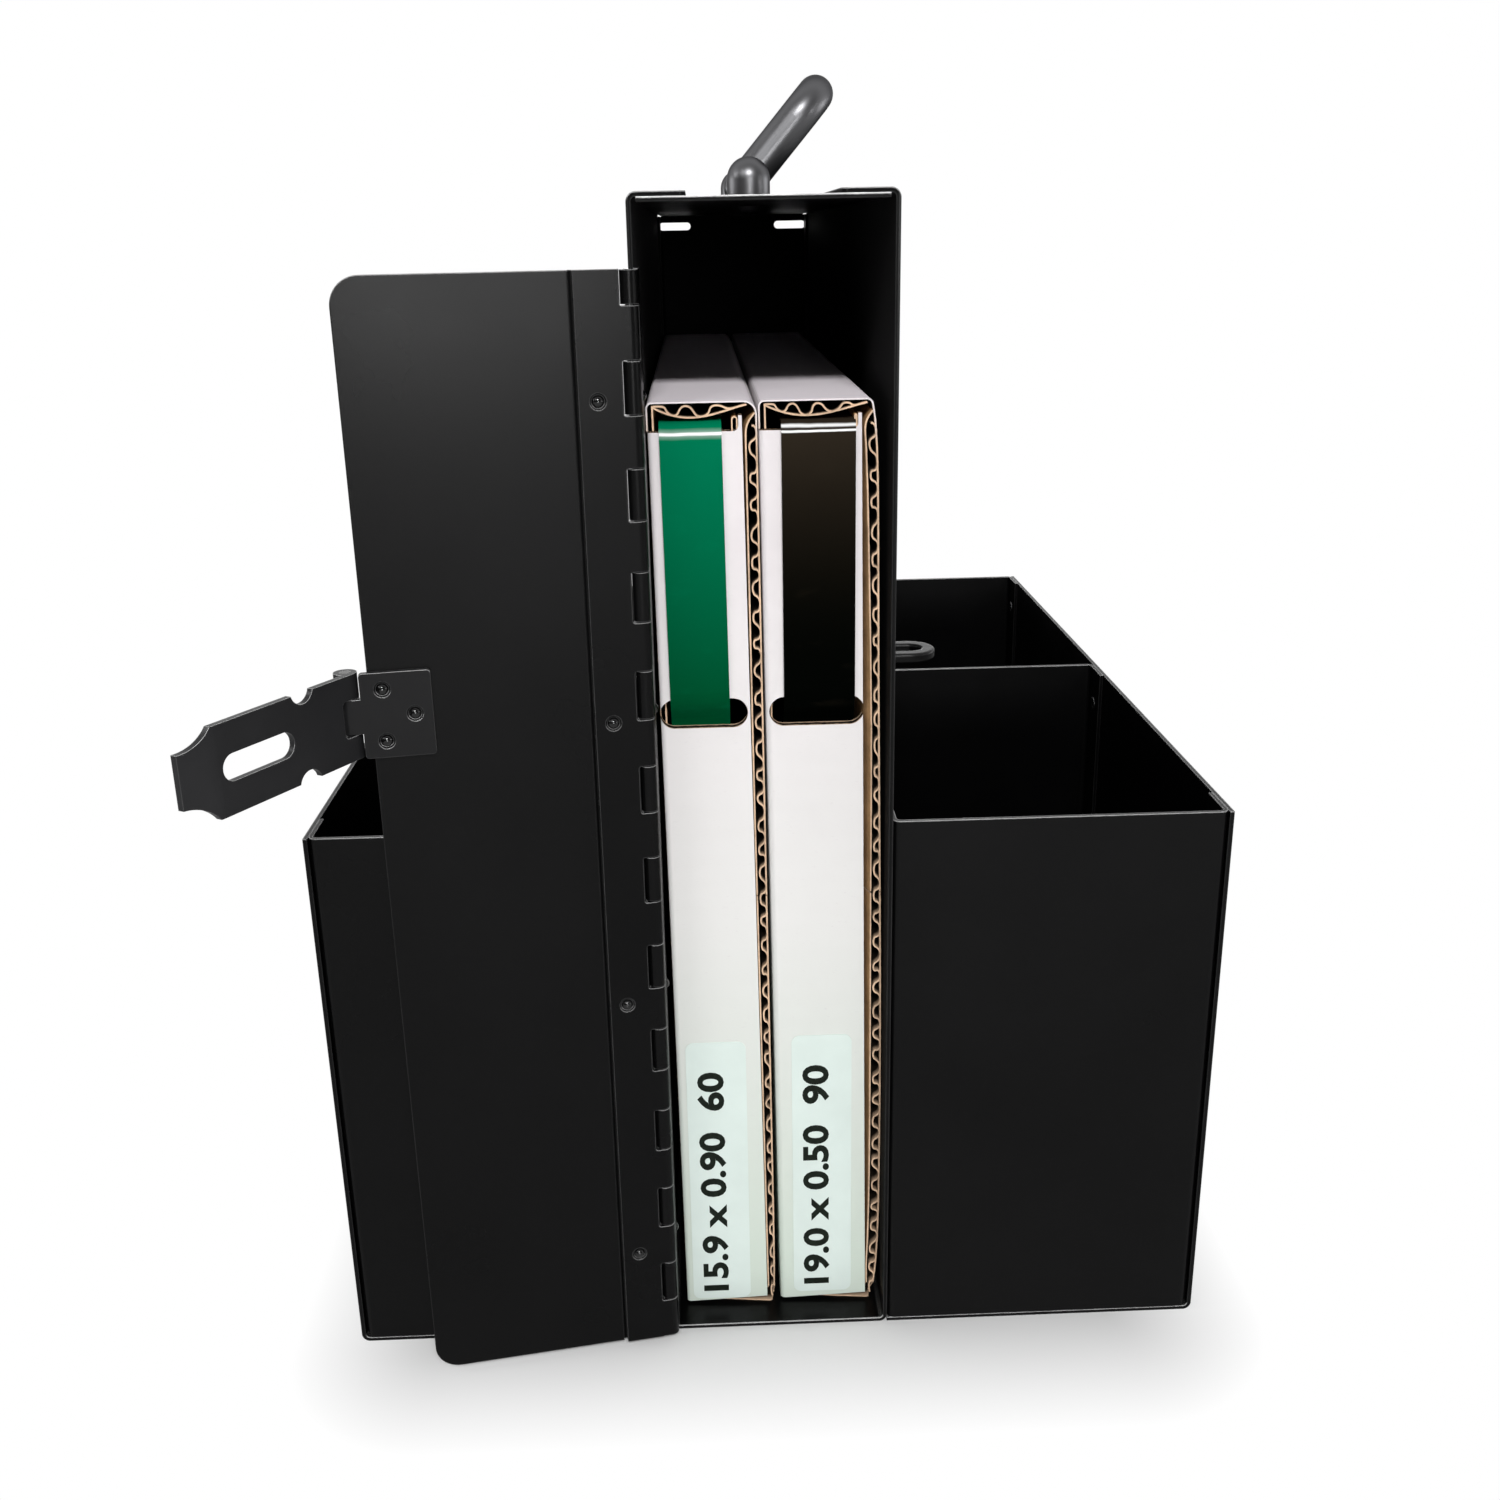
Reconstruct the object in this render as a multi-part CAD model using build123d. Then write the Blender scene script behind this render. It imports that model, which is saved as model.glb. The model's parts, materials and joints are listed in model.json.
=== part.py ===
from build123d import *
import math
import os

# A hand-carried strapping tote in bent and spot-welded sheet steel: a lockable middle compartment with a
# piano-hinged door, a hasp, a folding handle, and an open bin on each side. Two cartons of band stand inside.
# Millimetres, +Z up, +Y to the back, origin on the floor at the centre of the footprint.

# Sheet casing
sheet = 1.2
bend = 1.2
depth = 302.0
compartment_width = 65.5
compartment_height = 325.1
top_flange = 14.2
flange_mitre = 1.2
back_return = 12.0
hang_slot_length = 13.3
hang_slot_width = 3.1
hang_slot_spacing = 48.7
hang_slot_drop = 6.7

# Side bins
bin_width = 93.5
bin_height = 163.5
panel_return = 15.0
front_pocket = 151.0

# Rivets
rivet_shank = 2.4
rivet_head = 3.1
rivet_head_height = 1.2
rivet_tail = 3.4
rivet_tail_height = 0.8
rivet_hole_gap = 0.1
dimple_depth = 0.45
dimple_gap = 0.1

# Piano hinge
hinge_length = 304.8
knuckle_count = 24
top_knuckle = 8.2
knuckle_gap = 0.3
hinge_sheet = 1.1
hinge_pin = 2.2
hinge_leaf_width = 13.5
hinge_notch_gap = 0.5
hinge_notch_corner = 0.7
hinge_rivet_count = 4
hinge_rivet_inset = 30.4
hinge_rivet_reach = 8.8
running_fit = 0.05

# Door
door_floor_gap = 3.0
door_overhang = 3.9
door_barrel_gap = 0.2
door_corner = 7.0
door_clearance = 0.65
door_open_angle = 170.5

# Hasp
hasp_sheet = 1.6
hasp_height = 22.1
hasp_middle = 203.0
hasp_pin = 2.6
hasp_pin_reach = 5.3
hasp_leaf_width = 20.7
hasp_leaf_corner = 0.9
hasp_knuckle = 8.9
hasp_knuckle_gap = 0.3
hasp_rivet_columns = (8.7, 16.2)
hasp_rivet_spread = 13.4
hasp_strap_length = 55.4
hasp_tip_height = 13.0
hasp_shoulder = 8.4
hasp_cut_depth = 5.0
hasp_cut_corner = 1.2
hasp_notch_start = 14.6
hasp_notch_width = 7.2
hasp_notch_depth = 2.75
hasp_slot_start = 22.3
hasp_slot_length = 22.5
hasp_slot_height = 6.5
hasp_tip_length = 8.4
hasp_tip_angle = 14.5
hasp_tip_bend = 9.0
hasp_rest_angle = 51.0

# Staple
staple_reach = 14.75
staple_width = 14.8
staple_eye = 6.8
staple_bow = 3.9
staple_thickness = 2.8
staple_edge = 0.8

# Handle
post_diameter = 12.8
post_spacing = 101.6
post_tenon = 7.0
post_tenon_gap = 0.1
post_button = 10.0
post_button_height = 1.4
pivot_height = 6.5
spigot_diameter = 6.0
spigot_depth = 8.0
spigot_end_gap = 0.4
leg_gap = 0.6
bar_diameter = 11.0
bar_bend = 10.0
leg_length = 32.9
handle_lean_angle = 41.2

# Cartons
board = 3.0
carton_side = 274.0
carton_set_back = 9.8
carton_window = 4.6
carton_crease = 0.5
carton_slot_height = 8.2
carton_slot_drop = 79.1
left_carton_bottom = (-28.2, -0.6)
left_carton_top = (-30.3, -2.1)
left_slot_length = 24.0
left_slot_shift = 0.8
right_carton_bottom = (0.9, 30.3)
right_carton_top = (-1.8, 29.0)
right_slot_length = 25.7
right_slot_shift = -0.7

# Band
left_band_width = 15.9
left_band_inset = 0.15
left_band_lean_angle = 0.44
right_band_width = 19.05
right_band_inset = 1.45
right_band_lean_angle = 0.0
band_thickness = 0.9
coil_bore = 152.0
coil_clearance = 2.0
tail_gap = 0.4
tail_bend = 2.0
tail_tuck = 16.0
tuck_bend = 8.0

# Labels
label_width = 17.6
label_height = 89.2
label_thickness = 0.2
label_corner = 2.4
left_label_inset = 2.6
left_label_foot = 1.9
right_label_inset = 4.6
right_label_foot = 3.2

# Derived places
half_width = compartment_width / 2
front_y = -depth / 2
back_y = depth / 2
plate_top = compartment_height - sheet
plate_bottom = plate_top - sheet
bin_outside = half_width + bin_width
bin_inside = bin_outside - sheet
hinge_barrel = hinge_pin / 2 + hinge_sheet
knuckle_pitch = (hinge_length - top_knuckle) / (knuckle_count - 1)
hinge_notch = hinge_barrel + hinge_notch_gap
door_bottom = door_floor_gap
door_top = door_bottom + hinge_length
door_inner_face = hinge_barrel - hinge_sheet
hasp_face = door_inner_face + hasp_sheet
pin_x = -half_width + sheet + hinge_sheet - hinge_barrel
rivet_stand = rivet_head_height - dimple_depth
pin_y = front_y - hasp_face - rivet_stand - door_clearance
door_reach = half_width + door_overhang - pin_x
hasp_barrel = hasp_pin / 2 + hasp_sheet
hasp_pin_x = door_reach + hasp_pin_reach
hasp_pin_y = hasp_face - hasp_barrel
staple_y = pin_y + hasp_pin_y + hasp_slot_start + hasp_slot_length / 2
pivot_z = plate_top + pivot_height
leg_y = post_spacing / 2 - post_diameter / 2 - leg_gap - bar_diameter / 2
carton_front = front_y + carton_set_back
carton_top = sheet + carton_side
flap_top = carton_top - board - carton_window

# Where the door and the hasp stand in the shared frame
door_place = Location((pin_x, pin_y, 0), (0, 0, -door_open_angle))
hasp_place = door_place * Location((hasp_pin_x, hasp_pin_y, hasp_middle), (0, 0, hasp_rest_angle))


def offset_corner(before, corner, after, distance):
    """The corner of a path moved to its left by distance, on both of its runs."""
    first = (corner - before).normalized()
    second = (after - corner).normalized()
    left_first = Vector(-first.Y, first.X)
    left_second = Vector(-second.Y, second.X)
    mitre = (left_first + left_second).normalized()
    return corner + mitre * (distance / mitre.dot(left_first))


def bent_sheet(points, thickness, radii):
    """Section of a bent sheet. The points follow one face, and the thickness lies to their left."""
    face_a = [Vector(*point) for point in points]
    start = face_a[1] - face_a[0]
    finish = face_a[-1] - face_a[-2]
    face_b = [face_a[0] + Vector(-start.Y, start.X).normalized() * thickness]
    radii_a = []
    radii_b = []
    for index in range(1, len(face_a) - 1):
        before, corner, after = face_a[index - 1:index + 2]
        face_b.append(offset_corner(before, corner, after, thickness))
        turn = (corner - before).cross(after - corner).Z
        inside = radii[index - 1]
        radii_a.append(inside + thickness if turn > 0 else inside)
        radii_b.append(inside if turn > 0 else inside + thickness)
    face_b.append(face_a[-1] + Vector(-finish.Y, finish.X).normalized() * thickness)
    path_a = FilletPolyline(*face_a, radius=radii_a)
    path_b = FilletPolyline(*face_b, radius=radii_b)
    ends = Line(face_a[-1], face_b[-1]) + Line(face_a[0], face_b[0])
    return make_face((path_a + path_b + ends).edges())


def upright(face, bottom, top):
    """A plan section drawn up from one height to another."""
    return extrude(Pos(0, 0, bottom) * face, top - bottom)


def from_front(face, near, far):
    """A section drawn in X and Z, run back from near to far along Y."""
    plane = Plane(origin=(0, near, 0), x_dir=(1, 0, 0), z_dir=(0, -1, 0))
    return extrude(plane * face, near - far)


def block(low, high):
    """A box between two opposite corners."""
    size = [b - a for a, b in zip(low, high)]
    middle = [(a + b) / 2 for a, b in zip(low, high)]
    return Pos(*middle) * Box(*size)


def mirrored(part):
    """The same piece on the other side of the compartment."""
    return mirror(part, about=Plane.YZ)


# Casing

def compartment_wrap():
    """Left wall, floor and right wall of one sheet, with flanges turned in over the top plate."""
    flange_end = half_width - top_flange
    path = [
        (-flange_end, compartment_height),
        (-half_width, compartment_height),
        (-half_width, 0),
        (half_width, 0),
        (half_width, compartment_height),
        (flange_end, compartment_height),
    ]
    wrap = from_front(bent_sheet(path, sheet, [bend] * 4), front_y, back_y)
    mitre = make_face(Polyline(
        (flange_end, front_y),
        (flange_end + flange_mitre, front_y),
        (flange_end, front_y + flange_mitre),
        close=True,
    ))
    corner = upright(mitre, plate_top, compartment_height)
    corner += mirror(corner, about=Plane.XZ)
    wrap -= corner + mirrored(corner)
    return wrap - wall_rivet_holes()


def wall_rivet_holes():
    """Holes for the hinge rivets through the left wall and whatever lies against its outside."""
    hole = Cylinder((rivet_shank + rivet_hole_gap) / 2, 6 * sheet, rotation=(0, 90, 0))
    return [Pos(-half_width, pin_y + hinge_rivet_reach, height) * hole for height in rivet_heights()]


def pan_section(left, right, face_y, direction, length):
    """Plan of a flat panel with a return at each side, direction being the way the returns run."""
    path = [
        (left, face_y + direction * length),
        (left, face_y),
        (right, face_y),
        (right, face_y + direction * length),
    ]
    if direction < 0:
        path.reverse()
    return bent_sheet(path, sheet, [bend] * 2)


def bend_relief(edge, height, side):
    """Clearance along the depth for the bend where two sheets of the casing meet."""
    room = bend + sheet / 4
    low = (min(edge, edge - side * room), front_y, height - room)
    high = (max(edge, edge - side * room), back_y, height + room)
    return block(low, high)


def back_panel():
    """Back of the compartment with two hanging slots under its top edge."""
    edge = half_width - sheet
    panel = upright(pan_section(-edge, edge, back_y, -1, back_return), sheet, plate_bottom)
    for side in (-1, 1):
        panel -= bend_relief(side * edge, sheet, side)
        panel -= bend_relief(side * edge, plate_top, side)
        slot = Pos(side * hang_slot_spacing / 2, compartment_height - hang_slot_drop)
        slot *= SlotOverall(hang_slot_length, hang_slot_width)
        panel -= from_front(slot, back_y - 2 * sheet, back_y + sheet)
    return panel


def top_plate():
    """Plate under the flanges, drilled for the two handle posts."""
    edge = half_width - sheet - bend
    plate = block((-edge, front_y, plate_bottom), (edge, back_y, plate_top))
    for side in (-1, 1):
        hole = Cylinder((post_tenon + post_tenon_gap) / 2, 4 * sheet)
        plate -= Pos(0, side * post_spacing / 2, plate_top) * hole
    return plate


def bin_shell():
    """Outer side and floor of the right bin, one bent sheet."""
    path = [(half_width, 0), (bin_outside, 0), (bin_outside, bin_height)]
    return from_front(bent_sheet(path, sheet, [bend]), front_y, back_y)


def bin_panel(face_y, direction):
    """Cross panel of the right bin, spot-welded by its returns."""
    panel = upright(pan_section(half_width, bin_inside, face_y, direction, panel_return), sheet, bin_height)
    return panel - bend_relief(bin_inside, sheet, 1)


def staple():
    """Loop on the right wall that comes through the strap's slot and takes a padlock."""
    tip = staple_width / 2
    root = half_width
    end = root + staple_reach
    outline = Polyline((root, -tip), (end - tip, -tip)) + Polyline((end - tip, tip), (root, tip))
    outline += ThreePointArc((end - tip, -tip), (end, 0), (end - tip, tip)) + Line((root, tip), (root, -tip))
    eye = staple_eye / 2
    eye_end = end - staple_bow
    hole = Polyline((root, -eye), (eye_end - eye, -eye)) + Polyline((eye_end - eye, eye), (root, eye))
    hole += ThreePointArc((eye_end - eye, -eye), (eye_end, 0), (eye_end - eye, eye))
    hole += Line((root, eye), (root, -eye))
    loop = make_face(outline.edges()) - make_face(hole.edges())
    solid = extrude(loop, staple_thickness / 2, both=True)
    rims = [
        edge for edge in solid.edges()
        if abs(edge.center().Z) > staple_thickness / 4 and edge.center().X > root + staple_edge
    ]
    solid = fillet(rims, staple_edge)
    return Pos(0, staple_y, hasp_middle) * solid


# Rivets

def rivet(grip):
    """Dome-head rivet. The head sits on z = 0 and the tail is set under the grip."""
    shank = rivet_shank / 2
    head = rivet_head / 2
    tail = rivet_tail / 2
    below = -grip - rivet_tail_height
    dome_radius = (head ** 2 + rivet_head_height ** 2) / (2 * rivet_head_height)
    half_turn = math.asin(head / dome_radius) / 2
    shoulder = dome_radius * math.sin(half_turn)
    crown = rivet_head_height - dome_radius * (1 - math.cos(half_turn))
    dome = ThreePointArc((head, 0), (shoulder, crown), (0, rivet_head_height))
    rest = Polyline(
        (0, rivet_head_height), (0, below), (shank, below), (tail, -grip), (shank, -grip), (shank, 0), (head, 0),
    )
    profile = Plane.XZ * make_face((dome + rest).edges())
    return revolve(profile, Axis.Z)


def dimple():
    """Cone pressed into a leaf round a rivet. Its rim is on z = 0 and its floor is just wider than the head."""
    floor = rivet_head / 2 + dimple_gap
    return Pos(0, 0, -dimple_depth / 2) * Cone(floor, floor + dimple_depth, dimple_depth)


def rivet_heights():
    """Heights of the hinge rivets, evenly spread between their end insets."""
    span = hinge_length - 2 * hinge_rivet_inset
    step = span / (hinge_rivet_count - 1)
    return [door_bottom + hinge_rivet_inset + step * index for index in range(hinge_rivet_count)]


def rivet_seat(along, face, height, thickness):
    """Dimple and hole for a rivet in a leaf with its inner face on +Y."""
    plane = Plane(origin=(along, face, height), x_dir=(1, 0, 0), z_dir=(0, 1, 0))
    hole = Cylinder((rivet_shank + rivet_hole_gap) / 2, 4 * thickness)
    return plane.location * (dimple() + hole)


def hinge_wall_rivets():
    """Rivets through the wall leaf, the left wall and, lower down, the bin's return. Heads inside."""
    head_plane = Plane(
        origin=(pin_x + hinge_barrel - dimple_depth, pin_y + hinge_rivet_reach, 0),
        x_dir=(0, 1, 0),
        z_dir=(1, 0, 0),
    )
    made = []
    for height in rivet_heights():
        grip = hinge_sheet - dimple_depth + sheet
        if height < bin_height + rivet_tail / 2:
            grip += sheet
        made.append(Pos(0, 0, height) * (head_plane.location * rivet(grip)))
    return made


def hinge_door_rivets():
    """Rivets through the door leaf and the door, heads on the inner face."""
    head_plane = Plane(
        origin=(hinge_rivet_reach, hinge_barrel - dimple_depth, 0), x_dir=(1, 0, 0), z_dir=(0, 1, 0),
    )
    grip = hinge_sheet - dimple_depth + sheet
    return [door_place * (Pos(0, 0, height) * (head_plane.location * rivet(grip))) for height in rivet_heights()]


def hasp_rivet_points():
    """Three rivets in a triangle, measured from the hasp pin and the hasp's middle."""
    near, far = hasp_rivet_columns
    half = hasp_rivet_spread / 2
    return [(-near, half), (-far, 0), (-near, -half)]


def hasp_rivets():
    """Rivets through the hasp leaf and the door, heads on the inner face."""
    grip = hasp_sheet - dimple_depth + sheet
    made = []
    for along, up in hasp_rivet_points():
        head_plane = Plane(
            origin=(hasp_pin_x + along, hasp_face - dimple_depth, hasp_middle + up),
            x_dir=(1, 0, 0),
            z_dir=(0, 1, 0),
        )
        made.append(door_place * (head_plane.location * rivet(grip)))
    return made


# Piano hinge

def knuckle(radius, bore, thickness, reach, low, high):
    """Curl of a hinge leaf round its pin, with the tab that joins it to the leaf."""
    curl = Circle(radius) - Circle(bore)
    tab = Pos(reach / 2, radius - thickness / 2) * Rectangle(reach, thickness)
    tab -= Circle(bore)
    return upright(curl + tab, low, high)


def knuckle_span(index):
    """Bottom and top of one knuckle, counted from the top, where the strip was cut through a knuckle."""
    low = door_top - top_knuckle - index * knuckle_pitch
    high = low + (knuckle_pitch if index else top_knuckle)
    return low + knuckle_gap / 2, high - knuckle_gap / 2


def hinge_leaf(first, bore):
    """Hinge leaf along +X with its inner face on +Y and every other knuckle, counted from the top."""
    plate = block(
        (hinge_notch, hinge_barrel - hinge_sheet, door_bottom), (hinge_leaf_width, hinge_barrel, door_top),
    )
    for index in range(first, knuckle_count, 2):
        plate += knuckle(hinge_barrel, bore, hinge_sheet, hinge_notch, *knuckle_span(index))
    corners = [
        edge for edge in plate.edges().filter_by(Axis.Y)
        if abs(edge.center().X - hinge_notch) < hinge_notch_gap / 2
        and door_bottom + knuckle_gap < edge.center().Z < door_top - knuckle_gap
    ]
    plate = fillet(corners, hinge_notch_corner)
    for height in rivet_heights():
        plate -= rivet_seat(hinge_rivet_reach, hinge_barrel, height, hinge_sheet)
    return plate


def hinge_wall_leaf():
    """Leaf inside the left wall: the door leaf's pattern turned over, with the top knuckle."""
    leaf = hinge_leaf(0, hinge_pin / 2)
    turned = mirror(leaf, about=Plane(origin=(0, 0, 0), z_dir=(1, -1, 0)))
    return Pos(pin_x, pin_y, 0) * turned


def hinge_door_leaf():
    """Leaf on the door's inner face, free to turn on the pin."""
    return door_place * hinge_leaf(1, hinge_pin / 2 + running_fit)


def hinge_pin_rod():
    """Pin held in the wall leaf's knuckles."""
    return Pos(pin_x, pin_y, (door_bottom + door_top) / 2) * Cylinder(hinge_pin / 2, hinge_length)


# Door and hasp

def door_panel():
    """Flat door, rounded at its free corners, drilled for the hinge and hasp rivets."""
    near = hinge_barrel + door_barrel_gap
    outer_face = door_inner_face - sheet
    panel = block((near, outer_face, door_bottom), (door_reach, door_inner_face, door_top))
    corners = panel.edges().filter_by(Axis.Y).sort_by(Axis.X)[-2:]
    panel = fillet(corners, door_corner)
    points = [(hinge_rivet_reach, height) for height in rivet_heights()]
    points += [(hasp_pin_x + along, hasp_middle + up) for along, up in hasp_rivet_points()]
    for along, height in points:
        hole = Cylinder((rivet_shank + rivet_hole_gap) / 2, 4 * sheet, rotation=(90, 0, 0))
        panel -= Pos(along, outer_face, height) * hole
    return door_place * panel


def hasp_leaf():
    """Fixed leaf of the hasp with its middle knuckle beyond the door's free edge."""
    half = hasp_height / 2
    edge = -hasp_barrel - hasp_knuckle_gap
    inner = hasp_barrel - hasp_sheet
    leaf = block((-hasp_leaf_width, inner, -half), (edge, hasp_barrel, half))
    leaf = fillet(leaf.edges().filter_by(Axis.Y), hasp_leaf_corner)
    middle = hasp_knuckle / 2
    curl = knuckle(hasp_barrel, hasp_pin / 2, hasp_sheet, hasp_barrel + hasp_sheet, -middle, middle)
    leaf += mirror(curl, about=Plane.YZ)
    for along, up in hasp_rivet_points():
        leaf -= rivet_seat(along, hasp_barrel, up, hasp_sheet)
    return door_place * Pos(hasp_pin_x, hasp_pin_y, hasp_middle) * leaf


def hasp_pin_rod():
    """Pin held in the hasp leaf's knuckle."""
    return door_place * Pos(hasp_pin_x, hasp_pin_y, hasp_middle) * Cylinder(hasp_pin / 2, hasp_height)


def strap_outline():
    """Front view of the strap past its barrel, with hollow shoulders and a cut round the leaf's knuckle."""
    half = hasp_height / 2
    tip = hasp_tip_height / 2
    shoulder = hasp_strap_length - hasp_shoulder
    sweep = hasp_shoulder ** 2 + (half - tip) ** 2
    radius = sweep / (2 * (half - tip))
    start = hasp_barrel + hasp_knuckle_gap
    notch_end = hasp_notch_start + hasp_notch_width
    notch_middle = (hasp_notch_start + notch_end) / 2
    upper = Polyline((start, half), (hasp_notch_start, half))
    upper += ThreePointArc((hasp_notch_start, half), (notch_middle, half - hasp_notch_depth), (notch_end, half))
    upper += Line((notch_end, half), (shoulder, half))
    upper += RadiusArc((shoulder, half), (hasp_strap_length, tip), -radius)
    lower = mirror(upper, about=Plane.XZ)
    ends = Line((hasp_strap_length, tip), (hasp_strap_length, -tip)) + Line((start, half), (start, -half))
    outline = make_face((upper + lower + ends).edges())
    slot = Pos(hasp_slot_start + hasp_slot_length / 2, 0) * SlotOverall(hasp_slot_length, hasp_slot_height)
    opening = hasp_knuckle + 2 * hasp_knuckle_gap
    cut = Pos(hasp_cut_depth / 2, 0) * RectangleRounded(hasp_cut_depth, opening, hasp_cut_corner)
    return outline - slot - cut


def hasp_strap():
    """Swinging strap: a plate curled round the pin at two knuckles, with its tip turned away from the wall."""
    half = hasp_height / 2
    flat_end = hasp_strap_length - hasp_tip_length
    turned = math.radians(hasp_tip_angle)
    tip_end = (
        flat_end + 1.5 * hasp_tip_length * math.cos(turned),
        hasp_barrel - 1.5 * hasp_tip_length * math.sin(turned),
    )
    side = bent_sheet([tip_end, (flat_end, hasp_barrel), (0, hasp_barrel)], hasp_sheet, [hasp_tip_bend])
    plate = upright(side, -half, half)
    front = Plane(origin=(0, -2 * hasp_strap_length, 0), x_dir=(1, 0, 0), z_dir=(0, -1, 0)) * strap_outline()
    plate &= extrude(front, -4 * hasp_strap_length)
    middle = hasp_knuckle / 2 + hasp_knuckle_gap
    bore = hasp_pin / 2 + running_fit
    reach = hasp_barrel + hasp_knuckle_gap
    for low, high in ((middle, half), (-half, -middle)):
        plate += knuckle(hasp_barrel, bore, hasp_sheet, reach, low, high)
    return hasp_place * plate


# Handle

def handle_post(side):
    """Dome-top post with a tenon set over under the plate and a bore for the handle's pivot."""
    body = post_diameter / 2
    tenon = post_tenon / 2
    button = post_button / 2
    foot = plate_bottom - pivot_z
    seat = plate_top - pivot_z
    profile = Polyline(
        (0, body), (0, foot - post_button_height), (button * 0.7, foot - post_button_height), (button, foot),
        (tenon, foot), (tenon, seat), (body, seat), (body, 0),
    )
    profile += ThreePointArc((body, 0), (body * math.sqrt(0.5), body * math.sqrt(0.5)), (0, body))
    post = revolve(Plane.XZ * make_face(profile.edges()), Axis.Z)
    bore = Cylinder(spigot_diameter / 2 + running_fit, spigot_depth + spigot_end_gap, rotation=(90, 0, 0))
    middle = body - (spigot_depth + spigot_end_gap) / 2
    post -= Pos(0, -side * middle, 0) * bore
    return Pos(0, side * post_spacing / 2, pivot_z) * post


def handle_bar():
    """Round bar bent to a U, with a turned pivot at the foot of each leg."""
    radius = bar_diameter / 2
    route = FilletPolyline(
        (0, -leg_y, 0), (0, -leg_y, leg_length), (0, leg_y, leg_length), (0, leg_y, 0), radius=bar_bend,
    )
    bar = sweep(Pos(0, -leg_y, 0) * Circle(radius), route)
    pivot_length = bar_diameter / 2 + leg_gap + spigot_depth
    for side in (-1, 1):
        bar += Pos(0, side * leg_y, 0) * Sphere(radius)
        pivot = Cylinder(spigot_diameter / 2, pivot_length, rotation=(90, 0, 0))
        bar += Pos(0, side * (leg_y + pivot_length / 2), 0) * pivot
    return Location((0, 0, pivot_z), (0, handle_lean_angle, 0)) * bar


# Cartons, band and labels

def carton_section(bottom, top, inset):
    """Front view of a carton that has settled out of square, brought in by inset on every side."""
    return make_face(Polyline(
        (bottom[0] + inset, sheet + inset),
        (bottom[1] - inset, sheet + inset),
        (top[1] - inset, carton_top - inset),
        (top[0] + inset, carton_top - inset),
        close=True,
    ))


def edge_at(bottom, top, index, height):
    """Place of a carton's left (0) or right (1) face at one height."""
    share = (height - sheet) / carton_side
    return bottom[index] + (top[index] - bottom[index]) * share


def carton(bottom, top, slot_length, slot_middle):
    """Corrugated carton: closed on five sides, with a front flap that hinges on the left."""
    far = carton_front + carton_side
    body = from_front(carton_section(bottom, top, 0), carton_front, far)
    body -= from_front(carton_section(bottom, top, board), carton_front + board, far - board)
    inside = carton_section(bottom, top, board)
    window = block((-half_width, carton_front - board, flap_top), (half_width, carton_front + board, carton_top))
    body -= from_front(inside, carton_front - board, carton_front + board) & window
    flap = from_front(inside, carton_front, carton_front + board)
    slit = flap - Pos(-carton_crease, 0, carton_crease) * flap
    body -= slit - block(
        (-half_width, carton_front, flap_top), (half_width, carton_front + board, carton_top),
    )
    slot_height = flap_top - carton_slot_drop + carton_slot_height / 2
    slot = Pos(slot_middle, slot_height) * SlotOverall(slot_length, carton_slot_height)
    body -= from_front(slot, carton_front - board, carton_front + board)
    seam = sheet + carton_side / 2
    walls = carton_section(bottom, top, 0) - carton_section(bottom, top, board)
    joint = from_front(walls, carton_front, far - board)
    joint &= block(
        (sum(bottom) / 2, carton_front - board, seam), (half_width, far, seam + carton_crease),
    )
    return body - joint


def band(bottom, top, width, inset, lean):
    """Coil of band on its side, its tail drawn over the flap, down the front and tucked into the slot."""
    middle_y = carton_front + carton_side / 2
    middle_z = sheet + carton_side / 2
    coil_radius = carton_side / 2 - board - coil_clearance
    ring = Pos(middle_y, middle_z) * (Circle(coil_radius) - Circle(coil_bore / 2))
    run_out = middle_z + coil_radius
    outside = carton_front - tail_gap - band_thickness
    inside = carton_front + board + tail_gap
    slot_bottom = flap_top - carton_slot_drop
    path = [
        (middle_y, run_out),
        (outside, run_out),
        (outside, slot_bottom + carton_slot_height - 2 * tail_gap),
        (inside, slot_bottom + tail_gap),
        (inside, slot_bottom - tail_tuck),
    ]
    tail = bent_sheet(path, band_thickness, [tail_bend, tuck_bend, tuck_bend])
    left = edge_at(bottom, top, 0, middle_z) + board + inset
    solid = extrude(Plane.YZ * (ring + tail), width)
    place = Location((left, 0, middle_z), (0, -lean, 0)) * Pos(0, 0, -middle_z)
    return place * solid


def label(bottom, top, inset, foot):
    """Bare paper label with rounded corners at the foot of a carton's front."""
    middle = sheet + foot + label_height / 2
    left = edge_at(bottom, top, 0, middle) + inset
    shape = Pos(left + label_width / 2, middle) * RectangleRounded(label_width, label_height, label_corner)
    return from_front(shape, carton_front - label_thickness, carton_front)


def tail_middle(bottom, top, width, inset, lean):
    """Middle of a band's width at the height of its slot."""
    middle_z = sheet + carton_side / 2
    slot_height = flap_top - carton_slot_drop + carton_slot_height / 2
    left = edge_at(bottom, top, 0, middle_z) + board + inset
    return left + width / 2 - (slot_height - middle_z) * math.tan(math.radians(lean))


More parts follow.
